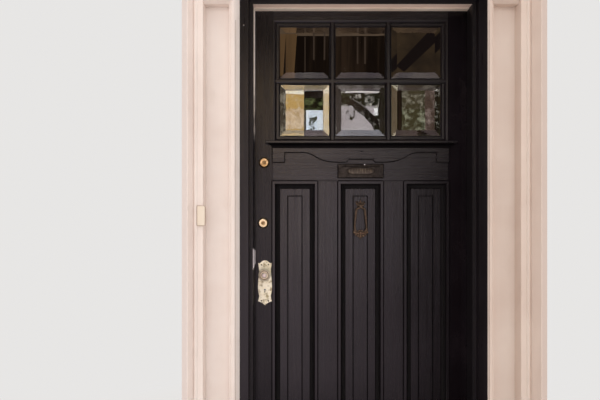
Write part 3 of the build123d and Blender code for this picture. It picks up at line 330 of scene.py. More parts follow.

# Letter plate: painted shade on its sides and in a ring round the oval label, and the label lighter than the
# flap round it
letter_metal = metal("letter_metal", ((0.042, 0.038, 0.035), (0.088, 0.080, 0.071), (0.02, 0.017, 0.016)),
                     0.4, 0.55, (0.45, 0.7), 40)
letter_metal.cover(letter_metal.span(letter_metal.normal("Y"), -0.9, -0.6), (0.008, 0.006, 0.005))
LABEL_Z, LABEL_REACH, LABEL_RISE = 1.4404, 0.054, 0.0135
from_side = letter_metal.math("POWER", letter_metal.both(letter_metal.axis("X"), 1 / LABEL_REACH), 4)
from_height = letter_metal.math("SUBTRACT", letter_metal.axis("Z"), LABEL_Z)
from_height = letter_metal.math("POWER", letter_metal.both(from_height, 1 / LABEL_RISE), 2)
off_label = letter_metal.math("ADD", from_side, from_height)
letter_metal.cover(letter_metal.span(off_label, 0.95, 0.85), (0.10, 0.088, 0.072))
# Painted shade in a dark ring round the label's edge
letter_metal.cover(letter_metal.near(off_label, 1.0, 0.3), (0.012, 0.010, 0.008))

glass = Shader("glass", Transmission_Weight=1.0, Roughness=0.01, IOR=1.52, Base_Color=(0.93, 0.95, 0.93))
glass.bump(glass.noise(7, 2, 0.4), 0.0002, 0.2)
glass.put("Roughness", glass.span(glass.noise(30, 4, 0.6), 0.5, 0.8, 0.0, 0.03))

LOOKS = {
    white_up: ["pilaster_left", "pilaster_right"],
    bell_paint: ["bell_push"],
    white_across: ["frieze_board"],
    white_band: ["backband_left", "backband_right", "backband_top"],
    frame_paint: ["jamb_left", "jamb_right", "head_frame"],
    stop_paint: ["door_stops"],
    draught: ["draught_strip"],
    sill_paint: ["sill"],
    threshold_metal: ["threshold_strip"],
    stile_shade_paint: ["lock_stile"],
    hinge_shade_paint: ["hinge_stile"],
    door_paint_up: ["mullion_left", "mullion_right", "panel_left", "panel_centre",
                    "panel_right", "inner_mouldings"],
    glazing_paint: ["glazing_beads", "glazing_bars", "glazing_moulding"],
    moulding_paint: ["panel_moulding_left", "panel_moulding_centre", "panel_moulding_right"],
    shade_paint: ["bed_moulding"],
    door_paint_across: ["top_rail", "lock_rail", "bottom_rail", "shelf", "apron"],
    glass: ["glass_panes"],
    letter_metal: ["letter_plate", "letter_flap"],
    bronze: ["knocker_plate", "knocker_ring", "knocker_stud"],
    cylinder_brass: ["key_cylinders"],
    plug_brass: ["plug_upper", "plug_lower"],
    knob_brass: ["outer_knob"],
    furniture_brass: ["escutcheon", "inner_escutcheon", "inner_knob", "turn_roses",
                      "thumb_turn_upper", "thumb_turn_lower"],
    lock_steel: ["lock_case", "spindle", "strike_boxes", "hinge_frame_leaves", "hinge_door_leaves",
                 "hinge_pins"],
    bolt_brass: ["latch_bolt", "mortise_bolt", "bolt_upper", "bolt_lower"],
}
for shader, names in LOOKS.items():
    for name in names:
        mesh = nodes[name].data
        mesh.materials.clear()
        mesh.materials.append(shader.material)


# Small pieces that the CAD model leaves to this script
def facing(place, out):
    """Matrix of a place on a face: local Z points out of it and local Y points up."""
    z = Vector(out).normalized()
    x = Vector((0, 0, 1)).cross(z).normalized()
    y = z.cross(x)
    return Matrix.Translation(Vector(place)) @ Matrix((x, y, z)).transposed().to_4x4()


def arc(radius_x, radius_y, first, last, steps, centre=(0, 0)):
    angles = [math.radians(first + (last - first) * n / steps) for n in range(steps + 1)]
    return [(centre[0] + radius_x * math.cos(a), centre[1] + radius_y * math.sin(a)) for a in angles]


def add_prism(bm, outline, base, top, inset, place):
    """A low prism over an outline, with its upper edge bevelled in by inset."""
    middle = sum((Vector(p) for p in outline), Vector((0, 0))) / len(outline)
    rings = []
    for height, shrink in ((base, 0.0), (top - inset, 0.0), (top, inset)):
        ring = []
        for p in outline:
            away = Vector(p) - middle
            p = middle + away * max(0.0, 1 - shrink / max(away.length, 1e-6))
            ring.append(bm.verts.new(place @ Vector((p.x, p.y, height))))
        rings.append(ring)
    count = len(outline)
    for low, high in zip(rings, rings[1:]):
        for n in range(count):
            m = (n + 1) % count
            bm.faces.new((low[n], low[m], high[m], high[n]))
    bm.faces.new(rings[-1])
    bm.faces.new(list(reversed(rings[0])))


# A screw head's measures as parts of its radius
SLOT_HALF, DISC_RISE, DISC_BEVEL = 0.13, 0.12, 0.04
HALF_REACH, HALF_FOOT, HALF_RISE, HALF_BEVEL = 0.96, 0.1, 0.3, 0.12


def add_screw(bm, place, radius, turn):
    """A slotted screw head, driven almost flush: a low disc with two half discs on it."""
    place = place @ Matrix.Rotation(math.radians(turn), 4, "Z")
    slot = radius * SLOT_HALF
    half_r = radius * HALF_REACH
    lean = math.degrees(math.asin(slot / radius))
    add_prism(bm, arc(radius, radius, 0, 337.5, 15), 0, radius * DISC_RISE, radius * DISC_BEVEL, place)
    for side in (1, -1):
        half = [(side * x, side * y) for x, y in arc(half_r, half_r, lean, 180 - lean, 10)]
        add_prism(bm, half, radius * HALF_FOOT, radius * HALF_RISE, radius * HALF_BEVEL, place)


def add_pin(bm, radius, rise, place):
    """The round head of a nail or pin."""
    add_prism(bm, arc(radius, radius, 0, 330, 11), 0, rise, rise / 2, facing(place, OUT))


def add_blob(bm, centre, radii, place, tilt=0):
    """A rounded boss, wider than it is high."""
    shape = place @ Matrix.Translation(Vector(centre)) @ Matrix.Rotation(math.radians(tilt), 4, "Z")
    shape = shape @ Matrix.Diagonal((*radii, 1))
    bmesh.ops.create_uvsphere(bm, u_segments=20, v_segments=12, radius=1, matrix=shape)


def piece(name, bm, shader, body, smooth=35):
    """Makes bm a piece of the object, sharp at edges that turn more than smooth degrees."""
    mesh = bpy.data.meshes.new(name)
    bmesh.ops.recalc_face_normals(bm, faces=bm.faces)
    bm.to_mesh(mesh)
    bm.free()
    mesh.materials.append(shader.material)
    made = bpy.data.objects.new(name, mesh)
    scene.collection.objects.link(made)
    mesh.shade_smooth()
    mesh.set_sharp_from_angle(angle=math.radians(smooth))
    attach(made, body)


# Escutcheon screws in the four ears of each plate: across and up from its middle, and turn in degrees
EAR_SCREW_R = 0.0030
ESCUTCHEON_SCREWS = (
    ("escutcheon_screws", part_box("escutcheon")[0].y, OUT,
     ((-0.0138, 0.0712, 20), (0.0138, 0.0720, -35), (-0.0138, -0.0712, 65), (0.0136, -0.0715, 5))),
    ("inner_escutcheon_screws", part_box("inner_escutcheon")[1].y, IN,
     ((-0.0138, 0.0712, -20), (0.0138, 0.0712, 35), (-0.0138, -0.0712, 80), (0.0138, -0.0712, 15))),
)
ear_low, ear_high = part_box("escutcheon")
ear_mid = (ear_low + ear_high) / 2
for name, face_y, out, screws in ESCUTCHEON_SCREWS:
    bm = bmesh.new()
    for across, up, turn in screws:
        add_screw(bm, facing((ear_mid.x + across, face_y, ear_mid.z + up), out), EAR_SCREW_R, turn)
    piece(name, bm, dark_screw, "door")

# Hinge screws on the faces of the leaves that meet when the door is shut: up from the middle, and depth
HINGE_SCREW_R = 0.0032
HINGE_SCREWS = ((-0.035, 0.021), (-0.012, 0.034), (0.012, 0.021), (0.035, 0.034))
for name, body, face_x, out in (("hinge_frame_screws", "frame", JAMB_FACE, (-1, 0, 0)),
                                ("hinge_door_screws", "door", LEAF_EDGE, (1, 0, 0))):
    bm = bmesh.new()
    for centre_z in HINGE_HEIGHTS:
        for up, depth in HINGE_SCREWS:
            add_screw(bm, facing((face_x, depth, centre_z + up), out), HINGE_SCREW_R, random.uniform(0, 180))
    piece(name, bm, lock_steel, body)

# Screws at both ends of the lock's forend and of the strikes in the jamb
LOCK_SCREW_R = 0.0028
FOREND_INSET, STRIKE_INSET = 0.006, 0.008
bm = bmesh.new()
case_low, case_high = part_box("lock_case")
for z in (case_low.z + FOREND_INSET, case_high.z - FOREND_INSET):
    add_screw(bm, facing((case_low.x, LEAF_MIDDLE, z), (-1, 0, 0)), LOCK_SCREW_R, random.uniform(0, 180))
piece("forend_screws", bm, bolt_brass, "door")
bm = bmesh.new()
for low_z, high_z in STRIKE_ENDS:
    for z in (low_z + STRIKE_INSET, high_z - STRIKE_INSET):
        add_screw(bm, facing((-JAMB_FACE, LEAF_MIDDLE, z), (1, 0, 0)), LOCK_SCREW_R, random.uniform(0, 180))
piece("strike_screws", bm, lock_steel, "frame")

# Reeding in the oval label of the letter flap: upright ribs with round ends, shorter towards the sides
REED_COUNT, REED_PITCH = 15, 0.0063
REED_R, REED_RISE, REED_BEVEL = 0.0021, 0.0013, 0.0009
REED_REACH, OVAL_REACH = 0.0115, 0.053
LABEL_SUNK = 0.0012
label_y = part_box("letter_flap")[0].y + LABEL_SUNK
label_z = sum(corner.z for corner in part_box("letter_plate")) / 2
bm = bmesh.new()
for n in range(REED_COUNT):
    x = (n - (REED_COUNT - 1) / 2) * REED_PITCH
    reach = REED_REACH * math.sqrt(max(0.2, 1 - (abs(x) / OVAL_REACH) ** 4))
    outline = (arc(REED_R, REED_R, 0, 180, 6, (0, reach - REED_R))
               + arc(REED_R, REED_R, 180, 360, 6, (0, REED_R - reach)))
    add_prism(bm, outline, 0, REED_RISE, REED_BEVEL, facing((x, label_y, label_z), OUT))
piece("label_reeding", bm, label_metal, "letter_flap", 60)

# Carving on the knocker's ring: a pendant under a boss, and on each side a garland, leaves, three beads
# up the arm and a leaf over them. Rows are across, up and out from the ring's foot, radii, and tilt.
GARLAND = 7
BEADS = 3
PENDANT = (((0, 0.0150, -0.0005), (0.0040, 0.0095, 0.0042)),
           ((0, 0.0235, 0.0), (0.0062, 0.0058, 0.0040)))
LEAVES = (((0.0105, 0.0125, -0.0012), (0.0022, 0.0060, 0.0020), 38),
          ((0.0185, 0.0165, -0.0012), (0.0020, 0.0050, 0.0018), 55),
          ((0.0065, 0.0320, -0.0010), (0.0050, 0.0016, 0.0018), -14),
          ((0.0118, 0.1210, -0.0004), (0.0050, 0.0019, 0.0018), -36))
ring_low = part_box("knocker_ring")[0]
ring_foot = facing((0, ring_low.y, ring_low.z), OUT)
bm = bmesh.new()
for centre, radii in PENDANT:
    add_blob(bm, centre, radii, ring_foot)
for side in (-1, 1):
    for n in range(GARLAND):
        part = (n + 1) / GARLAND
        add_blob(bm, (side * (0.0045 + 0.0235 * part), 0.0215 + 0.0055 * part ** 2, -0.0005),
                 (0.0034, 0.0046 - 0.0016 * part, 0.0032 - 0.0010 * part), ring_foot, side * 20)
    for (across, up, out), radii, tilt in LEAVES:
        add_blob(bm, (side * across, up, out), radii, ring_foot, side * tilt)
    for n in range(BEADS):
        add_blob(bm, (side * (0.0232 - 0.0012 * n), 0.0430 + 0.0085 * n, -0.0006),
                 (0.0016, 0.0036, 0.0013), ring_foot)
piece("knocker_carving", bm, bronze_highlight, "knocker", 60)

# Crown over the ring's pin: a middle leaf, and on each side a round of studs and a leaf
STUDS = 7
ROUND_X, ROUND_Z, ROUND_R, STUD_R = 0.0140, 0.0095, 0.0038, 0.0014
CROWN_PROUD = 0.004
crown_face = facing((0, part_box("knocker_plate")[1].y - CROWN_PROUD, PIVOT_Z), OUT)
bm = bmesh.new()
add_blob(bm, (0, 0.0160, 0), (0.0018, 0.0080, 0.0018), crown_face)
for side in (-1, 1):
    for n in range(STUDS):
        turn = math.radians(-40 + 45 * n)
        add_blob(bm, (side * (ROUND_X + ROUND_R * math.cos(turn)), ROUND_Z + ROUND_R * math.sin(turn), 0),
                 (STUD_R, STUD_R, STUD_R), crown_face)
    add_blob(bm, (side * 0.0062, 0.0080, 0), (0.0048, 0.0018, 0.0018), crown_face, side * 22)
piece("crown_carving", bm, bronze_highlight, "door", 60)

# A keeper plate with slanted corners on the reveal of the left stop, over the draught strip. It leans
# as the stop's reveal does.
KEEPER_FOOT, KEEPER_TOP, KEEPER_SLANT = 1.066, 1.135, 0.009
KEEPER_INSET, KEEPER_PROUD, KEEPER_CLEAR = 0.0041, 0.041, 0.001
KEEPER_T, KEEPER_BEVEL, KEEPER_LEAN = 0.0012, 0.0004, -0.053
strip_low, strip_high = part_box("draught_strip")
keeper_front, keeper_back = strip_low.y - KEEPER_PROUD, strip_high.y - KEEPER_CLEAR
outline = ((keeper_front, KEEPER_FOOT - KEEPER_SLANT), (keeper_back, KEEPER_FOOT + KEEPER_SLANT),
           (keeper_back, KEEPER_TOP - KEEPER_SLANT), (keeper_front, KEEPER_TOP + KEEPER_SLANT / 2))
bm = bmesh.new()
add_prism(bm, outline, -KEEPER_T, 0.0, KEEPER_BEVEL,
          facing((strip_low.x + KEEPER_INSET, 0, 0), (1, KEEPER_LEAN, 0)))
piece("keeper_plate", bm, keeper_metal, "frame")

# Creases: painted shade in thin lines along the feet of the mouldings, the apron, the letter plate and the
# bell push and along the rims of the incised lines, and dark open joints under the lock rail and up the
# pilasters
CREASE_T = 0.0003


def add_ribbon(bm, start, end, away):
    """A thin strip from start to end, as wide as away."""
    low = [bm.verts.new(p - Vector((0, CREASE_T, 0))) for p in (start, end, end + away, start + away)]
    high = [bm.verts.new(v.co + Vector((0, CREASE_T, 0))) for v in low]
    bm.faces.new(low)
    bm.faces.new(list(reversed(high)))
    for n in range(4):
        m = (n + 1) % 4
        bm.faces.new((low[n], high[n], high[m], low[m]))


def add_creases(bm, name, width, level=None):
    """Ribbons on a face along a node's walls that stand on it, or along the rims of grooves cut into
    the node at level."""
    mesh = nodes[name].data
    for polygon in mesh.polygons:
        spots = [mesh.vertices[n].co for n in polygon.vertices]
        away = Vector((polygon.normal.x, 0, polygon.normal.z))
        if abs(polygon.normal.y) > 0.3 or away.length < 0.5:
            continue
        face_y = max(p.y for p in spots) if level is None else level
        rim = [p for p in spots if abs(face_y - p.y) < 1e-5]
        if len(rim) != 2 or (rim[0] - rim[1]).length < 1e-4:
            continue
        away = away.normalized() * width * (1 if level is None else -1)
        add_ribbon(bm, *[Vector((p.x, face_y, p.z)) for p in rim], away)


MOULDING_CREASE, INCISION_CREASE, APRON_CREASE, PLATE_CREASE = 0.0032, 0.0010, 0.0030, 0.0022
RAIL_CREASE, PILASTER_CREASE = 0.0020, 0.0014
bm = bmesh.new()
for word in ("left", "centre", "right"):
    add_creases(bm, "panel_moulding_" + word, MOULDING_CREASE)
    add_creases(bm, "panel_" + word, INCISION_CREASE, PANEL_FACE)
add_creases(bm, "apron", APRON_CREASE)
add_creases(bm, "letter_plate", PLATE_CREASE)
for side in (-1, 1):
    ends = [Vector((side * x, 0, RAIL_JOINT_Z)) for x in RAIL_JOINT_ENDS]
    add_ribbon(bm, *ends, Vector((0, 0, RAIL_CREASE)))
piece("crease_lines", bm, shade_paint, "door")
bm = bmesh.new()
add_creases(bm, "bell_push", PLATE_CREASE)
for side in (-1, 1):
    ends = [Vector((side * PILASTER_JOINT_X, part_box("pilaster_left")[0].y, z)) for z in PILASTER_JOINT_ENDS]
    add_ribbon(bm, *ends, Vector((PILASTER_CREASE, 0, 0)))
piece("white_creases", bm, white_shade, "frame")

# A nail and three pins over the letter plate, a chip in the plate, and a nail in the frame, at the
# pixels where the photograph shows them. A head's size is its radius and rise.
NAIL, NAIL_HEAD = (361.7, 151.3), (0.0036, 0.0016)
PINS, PIN_HEAD = ((349.6, 158.6), (361.5, 158.9), (373.4, 158.7)), (0.0022, 0.0008)
FRAME_NAIL, FRAME_NAIL_HEAD = (243.7, 25.2), (0.0030, 0.0012)
CHIP, CHIP_RADII, CHIP_RISE, CHIP_BEVEL = (364.6, 164.6), (0.0022, 0.0016), 0.0003, 0.0002
bm = bmesh.new()
add_pin(bm, *NAIL_HEAD, seen(*NAIL, APRON_FRONT))
for pin in PINS:
    add_pin(bm, *PIN_HEAD, seen(*pin, APRON_FRONT))
piece("door_nail", bm, shade_paint, "door")
bm = bmesh.new()
chip = seen(*CHIP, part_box("letter_plate")[0].y)
add_prism(bm, arc(*CHIP_RADII, 0, 315, 7), 0, CHIP_RISE, CHIP_BEVEL, facing(chip, OUT))
piece("plate_chip", bm, keeper_metal, "door")
bm = bmesh.new()
add_pin(bm, *FRAME_NAIL_HEAD, seen(*FRAME_NAIL, FRAME_FRONT))
piece("jamb_nail", bm, lock_steel, "frame")


# Studio: a pale floor, a pale world, a large soft key in front, and lamps on both sides and behind
BACKGROUND = (0.80, 0.79, 0.78)
FLOOR_REACH = 80
FLOOR_SHOWN, FLOOR_EVEN = 1.1, 2.2
WORLD_LEFT, WORLD_RIGHT = 1.05, 1.22


def rectangle(low, high):
    """The corners of a level or upright rectangle between two opposite ones."""
    (x0, y0, z0), (x1, y1, z1) = low, high
    if z0 == z1:
        return ((x0, y0, z0), (x1, y0, z0), (x1, y1, z0), (x0, y1, z0))
    return ((x0, y0, z1), (x1, y1, z1), (x1, y1, z0), (x0, y0, z0))


def stage_card(name, points, shader, faces=((0, 1, 2, 3),)):
    mesh = bpy.data.meshes.new(name)
    mesh.from_pydata(points, [], faces)
    mesh.materials.append(shader.material)
    card = bpy.data.objects.new(name, mesh)
    scene.collection.objects.link(card)
    return card


# The floor shows its shading and shadow near the object and runs out into the background further off
floor = Shader("floor", Roughness=0.9, Specular_IOR_Level=0.0, Base_Color=(0.66, 0.645, 0.63))
far_off = floor.both(floor.shown_rays(), floor.span(floor.length(floor.coords), FLOOR_SHOWN, FLOOR_EVEN))
even = floor.node("Emission", {"Color": BACKGROUND, "Strength": 1.0})
floor.show(floor.blend(far_off, floor.bsdf.outputs[0], even.outputs[0]))
floor.material.cycles.emission_sampling = "NONE"
stage_card("floor", rectangle((-FLOOR_REACH, -FLOOR_REACH, 0), (FLOOR_REACH, FLOOR_REACH, 0)), floor)

# The world lights the object a little more from the right
world = bpy.data.worlds.new("studio")
scene.world = world
world.use_nodes = True
world.node_tree.nodes.clear()
studio = Tree(world, "Generated")
studio.node("OutputWorld")
daylight = studio.span(studio.axis("X"), -1.0, 1.0, WORLD_LEFT, WORLD_RIGHT)
lit = studio.node("Background", {"Color": (1.0, 0.98, 0.96), "Strength": daylight})
plain_back = studio.node("Background", {"Color": BACKGROUND})
studio.show(studio.blend(studio.shown_rays(), lit.outputs[0], plain_back.outputs[0]))


def lamp(name, place, aim, size, watts, colour):
    """A soft rectangular lamp that no mirror and no glass shows."""
    light = bpy.data.lights.new(name, "AREA")
    light.shape = "RECTANGLE"
    light.size, light.size_y = size
    light.energy = watts
    light.color = colour
    holder = bpy.data.objects.new(name, light)
    scene.collection.objects.link(holder)
    holder.location = place
    holder.rotation_euler = (Vector(aim) - Vector(place)).to_track_quat("-Z", "Y").to_euler()
    holder.visible_glossy = holder.visible_transmission = False


lamp("key", (-0.8, -5.6, 3.2), (-0.1, 0, 1.1), (6.0, 3.0), 50, (1.0, 0.99, 0.98))
lamp("left", (-5.0, -2.2, 1.6), (-0.5, 0, 1.2), (3.0, 3.0), 35, (1.0, 0.98, 0.96))
lamp("right", (5.0, -2.2, 1.6), (0.5, 0, 1.2), (3.0, 3.0), 50, (1.0, 0.97, 0.94))
lamp("back", (0.5, 4.0, 3.0), (0, 0, 1.0), (3.0, 3.0), 14, (1, 1, 1))


# What the panes mirror and what shows through them, on cards that only glossy and see-through rays meet
PANE_Y = 0.015
STREET_Y, STREET_STEP, LIMB_LAYER = -7.0, 0.1, 3
HALL_Y, HALL_STEP = 1.2, -0.05


def mirrored(px, py, y, lean=(0, 0)):
    """The point at depth y that the glass mirrors at this pixel. lean is a bevel's tip right and up."""
    pane = seen(px, py, PANE_Y)
    normal = Vector((math.tan(lean[0]), -1, math.tan(lean[1]))).normalized()
    ray = (pane - Vector(CAMERA_PLACE)).reflect(normal)
    return pane + ray * (y - pane.y) / ray.y


def box_of(left, top, right, bottom):
    return ((left, top), (right, top), (right, bottom), (left, bottom))


def glow(name, colour, strength, second=None, scale=3.0, low=0.42, high=0.62, stretch=(1, 1, 1), fade=()):
    """Emission that changes between two colours in patches. A row of fade is an axis, where along it the
    light is least and where full, and the least as a part of full."""
    shader = Shader(name)
    shader.tree.nodes.remove(shader.bsdf)
    tone = colour
    if second:
        tone = shader.mix(shader.span(shader.noise(scale, 5, 0.6, stretch), low, high), colour, second)
    for letter, dark_end, bright_end, least in fade:
        strength = shader.both(strength, shader.span(shader.axis(letter), dark_end, bright_end, least, 1))
    shader.light = shader.node("Emission", {"Color": tone, "Strength": strength}).outputs[0]
    shader.show(shader.light)
    shader.material.cycles.emission_sampling = "NONE"
    return shader


def mirror_glow(name, *look, **fade):
    """A glow that mirrored rays see, and that rays straight through a pane miss."""
    shader = glow(name, *look, **fade)
    depth = shader.node("LightPath").outputs["Glossy Depth"]
    shader.show(shader.blend(depth, shader.node("BsdfTransparent").outputs[0], shader.light))
    return shader


def hidden_card(name, points, shader, glossy=True, faces=((0, 1, 2, 3),)):
    """A card that shows in see-through rays, and in glossy rays too if glossy is true."""
    card = stage_card(name, points, shader, faces)
    card.visible_camera = False
    card.visible_diffuse = False
    card.visible_volume_scatter = False
    card.visible_shadow = False
    card.visible_glossy = glossy


def street(name, place, layer, *look):
    """A card in front of the door. place is left, top, right and bottom in photograph pixels of the panes."""
    y = STREET_Y + STREET_STEP * layer
    hidden_card("street_" + name, [mirrored(px, py, y) for px, py in box_of(*place)],
                mirror_glow("street_" + name, *look))


def bevel(name, place, lean, y, *look):
    """A card where a bevel mirrors it. place is left, top, right and bottom in photograph pixels."""
    hidden_card("bevel_" + name, [mirrored(px, py, y, lean) for px, py in box_of(*place)],
                mirror_glow("bevel_" + name, *look))


def band(name, middle, half, *look):
    """A limb that reaches half up and down from its middle, in photograph pixels of the flat glass."""
    y = STREET_Y + STREET_STEP * LIMB_LAYER
    rims = [mirrored(px, py + side * half, y) for px, py in middle for side in (-1, 1)]
    faces = [(2 * n, 2 * n + 1, 2 * n + 3, 2 * n + 2) for n in range(len(middle) - 1)]
    hidden_card("street_" + name, rims, mirror_glow("street_" + name, *look), faces=faces)


def hall(name, corners, layer, *look):
    """A card behind the door, by its corners in photograph pixels."""
    hidden_card("hall_" + name, [seen(px, py, HALL_Y + HALL_STEP * layer) for px, py in corners],
                glow("hall_" + name, *look), glossy=False)


# The street's daylight in the door's gloss: bright ahead, dark on the right, overhead and at the sides
DAY = (1.0, 0.83, 0.92)
SIDE_X, CEILING_Z, NEAR_Y, GROUND_Z = 2.6, 3.3, -0.4, 0.002
hidden_card("street_day", rectangle((-SIDE_X, STREET_Y, 0), (SIDE_X, STREET_Y, CEILING_Z)),
            mirror_glow("street_day", DAY, 1.85,
                        fade=(("X", 2.15, -0.2, 0.0), ("X", -1.1, -0.4, 0.45), ("Z", 3.3, 2.2, 0.3))))
hidden_card("street_ground", rectangle((-SIDE_X, STREET_Y, GROUND_Z), (SIDE_X, NEAR_Y, GROUND_Z)),
            mirror_glow("street_ground", DAY, 1.3, fade=(("X", 1.5, -0.6, 0.0), ("Y", -0.8, -2.2, 0.05))))
gloom = mirror_glow("street_gloom", (0.030, 0.020, 0.016), 1.0, (0.055, 0.038, 0.028), 2)
for name, side_x in (("left", -SIDE_X), ("right", SIDE_X)):
    hidden_card("street_side_" + name, rectangle((side_x, STREET_Y, 0), (side_x, NEAR_Y, CEILING_Z)), gloom)
hidden_card("street_ceiling", rectangle((-SIDE_X, STREET_Y, CEILING_Z), (SIDE_X, NEAR_Y, CEILING_Z)), gloom)

# Black cards beside the hinge stile, where the photograph has an open outer door. The lower one reaches
# further out, clear of what the panes mirror.
FLAG_X, FLAG_NEAR, FLAG_FAR = 0.455, -0.11, -0.57
LOW_FLAG_FAR, LOW_FLAG_TOP = -1.1, 1.5
flag_black = mirror_glow("street_flag", (0.010, 0.007, 0.006), 1.0)
hidden_card("street_flag", rectangle((FLAG_X, FLAG_FAR, 0), (FLAG_X, FLAG_NEAR, CEILING_Z)), flag_black)
hidden_card("street_flag_low", rectangle((FLAG_X, LOW_FLAG_FAR, 0), (FLAG_X, FLAG_FAR, LOW_FLAG_TOP)),
            flag_black)

# Colours that several cards share
LEAF_DARK = (0.018, 0.020, 0.010)
FAR_WALL = (0.62, 0.56, 0.58)
PALE_WALL = (0.80, 0.88, 1.0)
EAVES = (0.30, 0.25, 0.23)

# What the lower panes mirror across the street in their flat glass. A row is a name, a place in
# photograph pixels (left, top, right and bottom), a layer, a colour and its strength, and where there
# are patches, a second colour, their scale and their two ends.
STREET_CARDS = (
    ("wall", (262, 80, 462, 140), 1, (0.09, 0.09, 0.045), 2.0, (0.26, 0.22, 0.18), 5.0),
    ("ochre_wall", (255, 81, 304, 140), 2, (0.80, 0.50, 0.17), 6.4, (1.0, 0.82, 0.58), 14.0, 0.50, 0.66),
    ("ochre_top", (270, 87, 304, 94), 3, (1.0, 0.93, 0.80), 9.0, (0.9, 0.75, 0.5), 4.0),
    ("ochre_low", (284, 109, 304, 129), 3, (1.0, 0.76, 0.54), 6.8, (0.74, 0.50, 0.26), 22.0, 0.44, 0.60),
    ("eaves", (304, 81, 326, 91), 2, EAVES, 2.5, (0.5, 0.42, 0.38), 3.0),
    ("roof", (304, 91, 325, 98), 3, (0.04, 0.03, 0.025), 1.4, (0.16, 0.13, 0.11), 3.0),
    ("hedge", (304, 98, 325, 110), 2, LEAF_DARK, 3.0, (0.34, 0.40, 0.16), 9.0, 0.45, 0.6),
    ("white_wall", (306, 110, 325, 131), 3, PALE_WALL, 8.5, (0.92, 0.95, 1.0), 5.0),
    ("wall_leaves", (309, 112, 317, 131), 4, PALE_WALL, 8.0, (0.06, 0.07, 0.05), 9.0, 0.5, 0.54),
    ("cornice", (334, 81, 388, 91), 2, (0.30, 0.26, 0.27), 2.2, (0.46, 0.42, 0.42), 3.0),
    ("far_wall", (338, 106, 374, 131), 2, FAR_WALL, 7.5, (0.50, 0.44, 0.45), 2.5),
    ("sky_gaps", (334, 91, 388, 131), 1.5, LEAF_DARK, 5.0, (0.80, 0.74, 0.66), 14.0, 0.5, 0.62),
    ("palm", (346, 110, 355, 120), 3, FAR_WALL, 6.5, LEAF_DARK, 9.0, 0.42, 0.5),
    ("sky_line", (345, 91.3, 385, 92.8), 4, (0.95, 0.88, 0.85), 7.5),
    ("sky_spot", (374, 108, 378, 115), 4, (1.0, 0.97, 0.98), 8.5),
    ("green_right", (398, 86, 441, 131), 2, (0.13, 0.12, 0.06), 2.8, (0.78, 0.72, 0.56), 11.0, 0.48, 0.64),
    ("green_low", (402, 109, 427, 131), 3, (0.10, 0.10, 0.045), 3.2, (0.80, 0.82, 0.58), 12.0, 0.46, 0.66),
    ("brown_right", (425, 90, 441, 131), 3.3, (0.20, 0.13, 0.10), 3.0, (0.74, 0.56, 0.50), 10.0, 0.46, 0.68),
    ("post", (397, 81, 402, 140), 4, (0.02, 0.015, 0.012), 1.0),
)
for row in STREET_CARDS:
    street(*row)

# Limbs in the same panes, by their middles in photograph pixels. A row is a name, a middle, half of the
# thickness, and the look as above.
TRUNK = ((336, 97), (343, 100), (352, 102.5), (361, 108), (370, 115), (377, 122), (385, 133))
TREE_TOP = ((339, 96), (345, 99), (350, 98))
FAR_LEAVES = ((353, 104), (364, 112), (372, 121), (376, 131))
TRUNK_LIGHT = ((352, 98.5), (361, 104), (368, 109.5))
BANDS = (
    ("trunk", TRUNK, 3.2, (0.03, 0.024, 0.022), 1.5, (0.12, 0.09, 0.08), 8.0),
    ("tree_top", TREE_TOP, 5.0, LEAF_DARK, 3.0, (0.10, 0.11, 0.06), 14.0),
    ("far_leaves", FAR_LEAVES, 4.5, LEAF_DARK, 3.0, (0.40, 0.36, 0.34), 14.0, 0.5, 0.62),
    ("trunk_light", TRUNK_LIGHT, 0.7, (0.5, 0.44, 0.42), 3.0),
)
for row in BANDS:
    band(*row)

# What the bevels mirror, far off or on cards near the door. A row is a name, a place in photograph
# pixels, which way the bevel tips, the card's depth, and the look as above.
BEVEL = math.radians(6.2)
UP, DOWN, LEFT, RIGHT = (0, BEVEL), (0, -BEVEL), (-BEVEL, 0), (BEVEL, 0)
FAR, NEAR, NEAREST = STREET_Y + 0.2, -2.5, -1.0
BEVEL_CARDS = (
    ("upper", (270, 68, 450, 80), DOWN, FAR, (0.50, 0.42, 0.46), 2.2, (0.75, 0.66, 0.66), 2.0),
    ("upper_top", (270, 24, 450, 35), UP, NEAREST, (0.90, 0.58, 0.36), 0.9, (0.30, 0.20, 0.14), 5.0),
    ("lower_top_left", (276, 83, 330, 92), UP, NEAR, (1.0, 0.74, 0.42), 4.0, (1.0, 0.9, 0.7), 4.0),
    ("lower_top_mid", (332, 83, 388, 92), UP, NEAR, EAVES, 2.6, (0.85, 0.78, 0.75), 9.0, 0.5, 0.62),
    ("lower_top_right", (390, 83, 446, 92), UP, NEAR, (0.16, 0.13, 0.10), 2.4, (0.75, 0.66, 0.55),
     10.0, 0.5, 0.62),
    ("lower_left", (262, 128, 304, 140), DOWN, FAR, (1.0, 0.80, 0.52), 6.5, (1.0, 0.88, 0.68), 2.0),
    ("lower_mid", (330, 128, 388, 140), DOWN, FAR, (0.62, 0.62, 0.70), 6.5, (0.5, 0.5, 0.56), 2.0),
    ("lower_right", (390, 128, 446, 140), DOWN, FAR, (0.56, 0.42, 0.42), 1.6, (0.42, 0.32, 0.30), 3.0),
    ("left_side", (278, 81, 286, 140), LEFT, FAR, (0.16, 0.13, 0.09), 3.0, (1.0, 0.88, 0.70),
     7.0, 0.42, 0.56),
    ("left_right", (323, 81, 329.5, 140), RIGHT, NEAR, (1.0, 0.84, 0.60), 7.5, (1.0, 0.92, 0.76), 2.0),
    ("right_left", (389, 81, 401, 140), LEFT, NEAR, (0.62, 0.44, 0.26), 2.4, (0.8, 0.62, 0.42), 3.0),
)
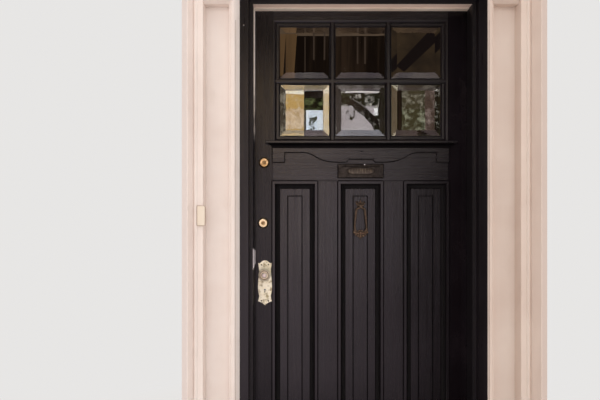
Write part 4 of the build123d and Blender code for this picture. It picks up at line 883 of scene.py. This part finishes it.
for row in BEVEL_CARDS:
    bevel(*row)

# The upper panes mirror a dark canopy
CANOPY = (262, 20, 456, 79)
hidden_card("street_canopy", [mirrored(px, py, NEAR) for px, py in box_of(*CANOPY)],
            mirror_glow("street_canopy", (0.016, 0.010, 0.008), 1.0, (0.030, 0.020, 0.015), 3.0))

# The dim hall behind the glass: planked wall, lintel, hatch, a curtain and the underside of a stair. A
# row is a name, corners in photograph pixels, a layer, the look as above, and how far it is drawn out.
CURTAIN = ((278, 34), (297, 34), (294, 76), (278, 76))
STAIR = ((430, 30), (440, 38), (404, 72), (396, 66))
# Pale streaks on its wall: middle, width, top and bottom in photograph pixels
STREAKS = ((305, 1.0, 37, 72), (313.8, 1.6, 28, 60), (324, 1.0, 37, 74), (357.5, 1.6, 37, 64),
           (365, 1.8, 37, 64))
HALL_CARDS = (
    ("back", box_of(-400, -300, 1100, 700), 0,
     (0.022, 0.013, 0.008), 1.0, (0.005, 0.003, 0.002), 9.0, 0.42, 0.58, (1, 1, 0.08)),
    ("lintel", box_of(270, 20, 392, 36), 1, (0.085, 0.056, 0.036), 1.0, (0.045, 0.030, 0.02), 8.0),
    ("lintel_edge", box_of(300, 34.6, 390, 36), 2, (0.085, 0.058, 0.040), 1.0),
    ("hatch", box_of(359, 24, 384, 34), 3, (0.012, 0.007, 0.005), 1.0, (0.06, 0.04, 0.028), 14.0, 0.5, 0.6),
    ("curtain", CURTAIN, 2, (0.090, 0.050, 0.023), 1.0, (0.045, 0.025, 0.012), 9.0, 0.4, 0.6, (1, 1, 0.1)),
    ("plaster", box_of(392, 20, 450, 76), 1, (0.036, 0.023, 0.013), 1.0, (0.018, 0.012, 0.008), 4.0),
    ("stair", STAIR, 2, (0.006, 0.004, 0.004), 1.0),
)
for row in HALL_CARDS:
    hall(*row)
for px, width, top, bottom in STREAKS:
    hall("streak_%d" % px, box_of(px - width / 2, top, px + width / 2, bottom), 3, (0.040, 0.027, 0.020), 1.0)

scene.view_settings.view_transform = "Standard"
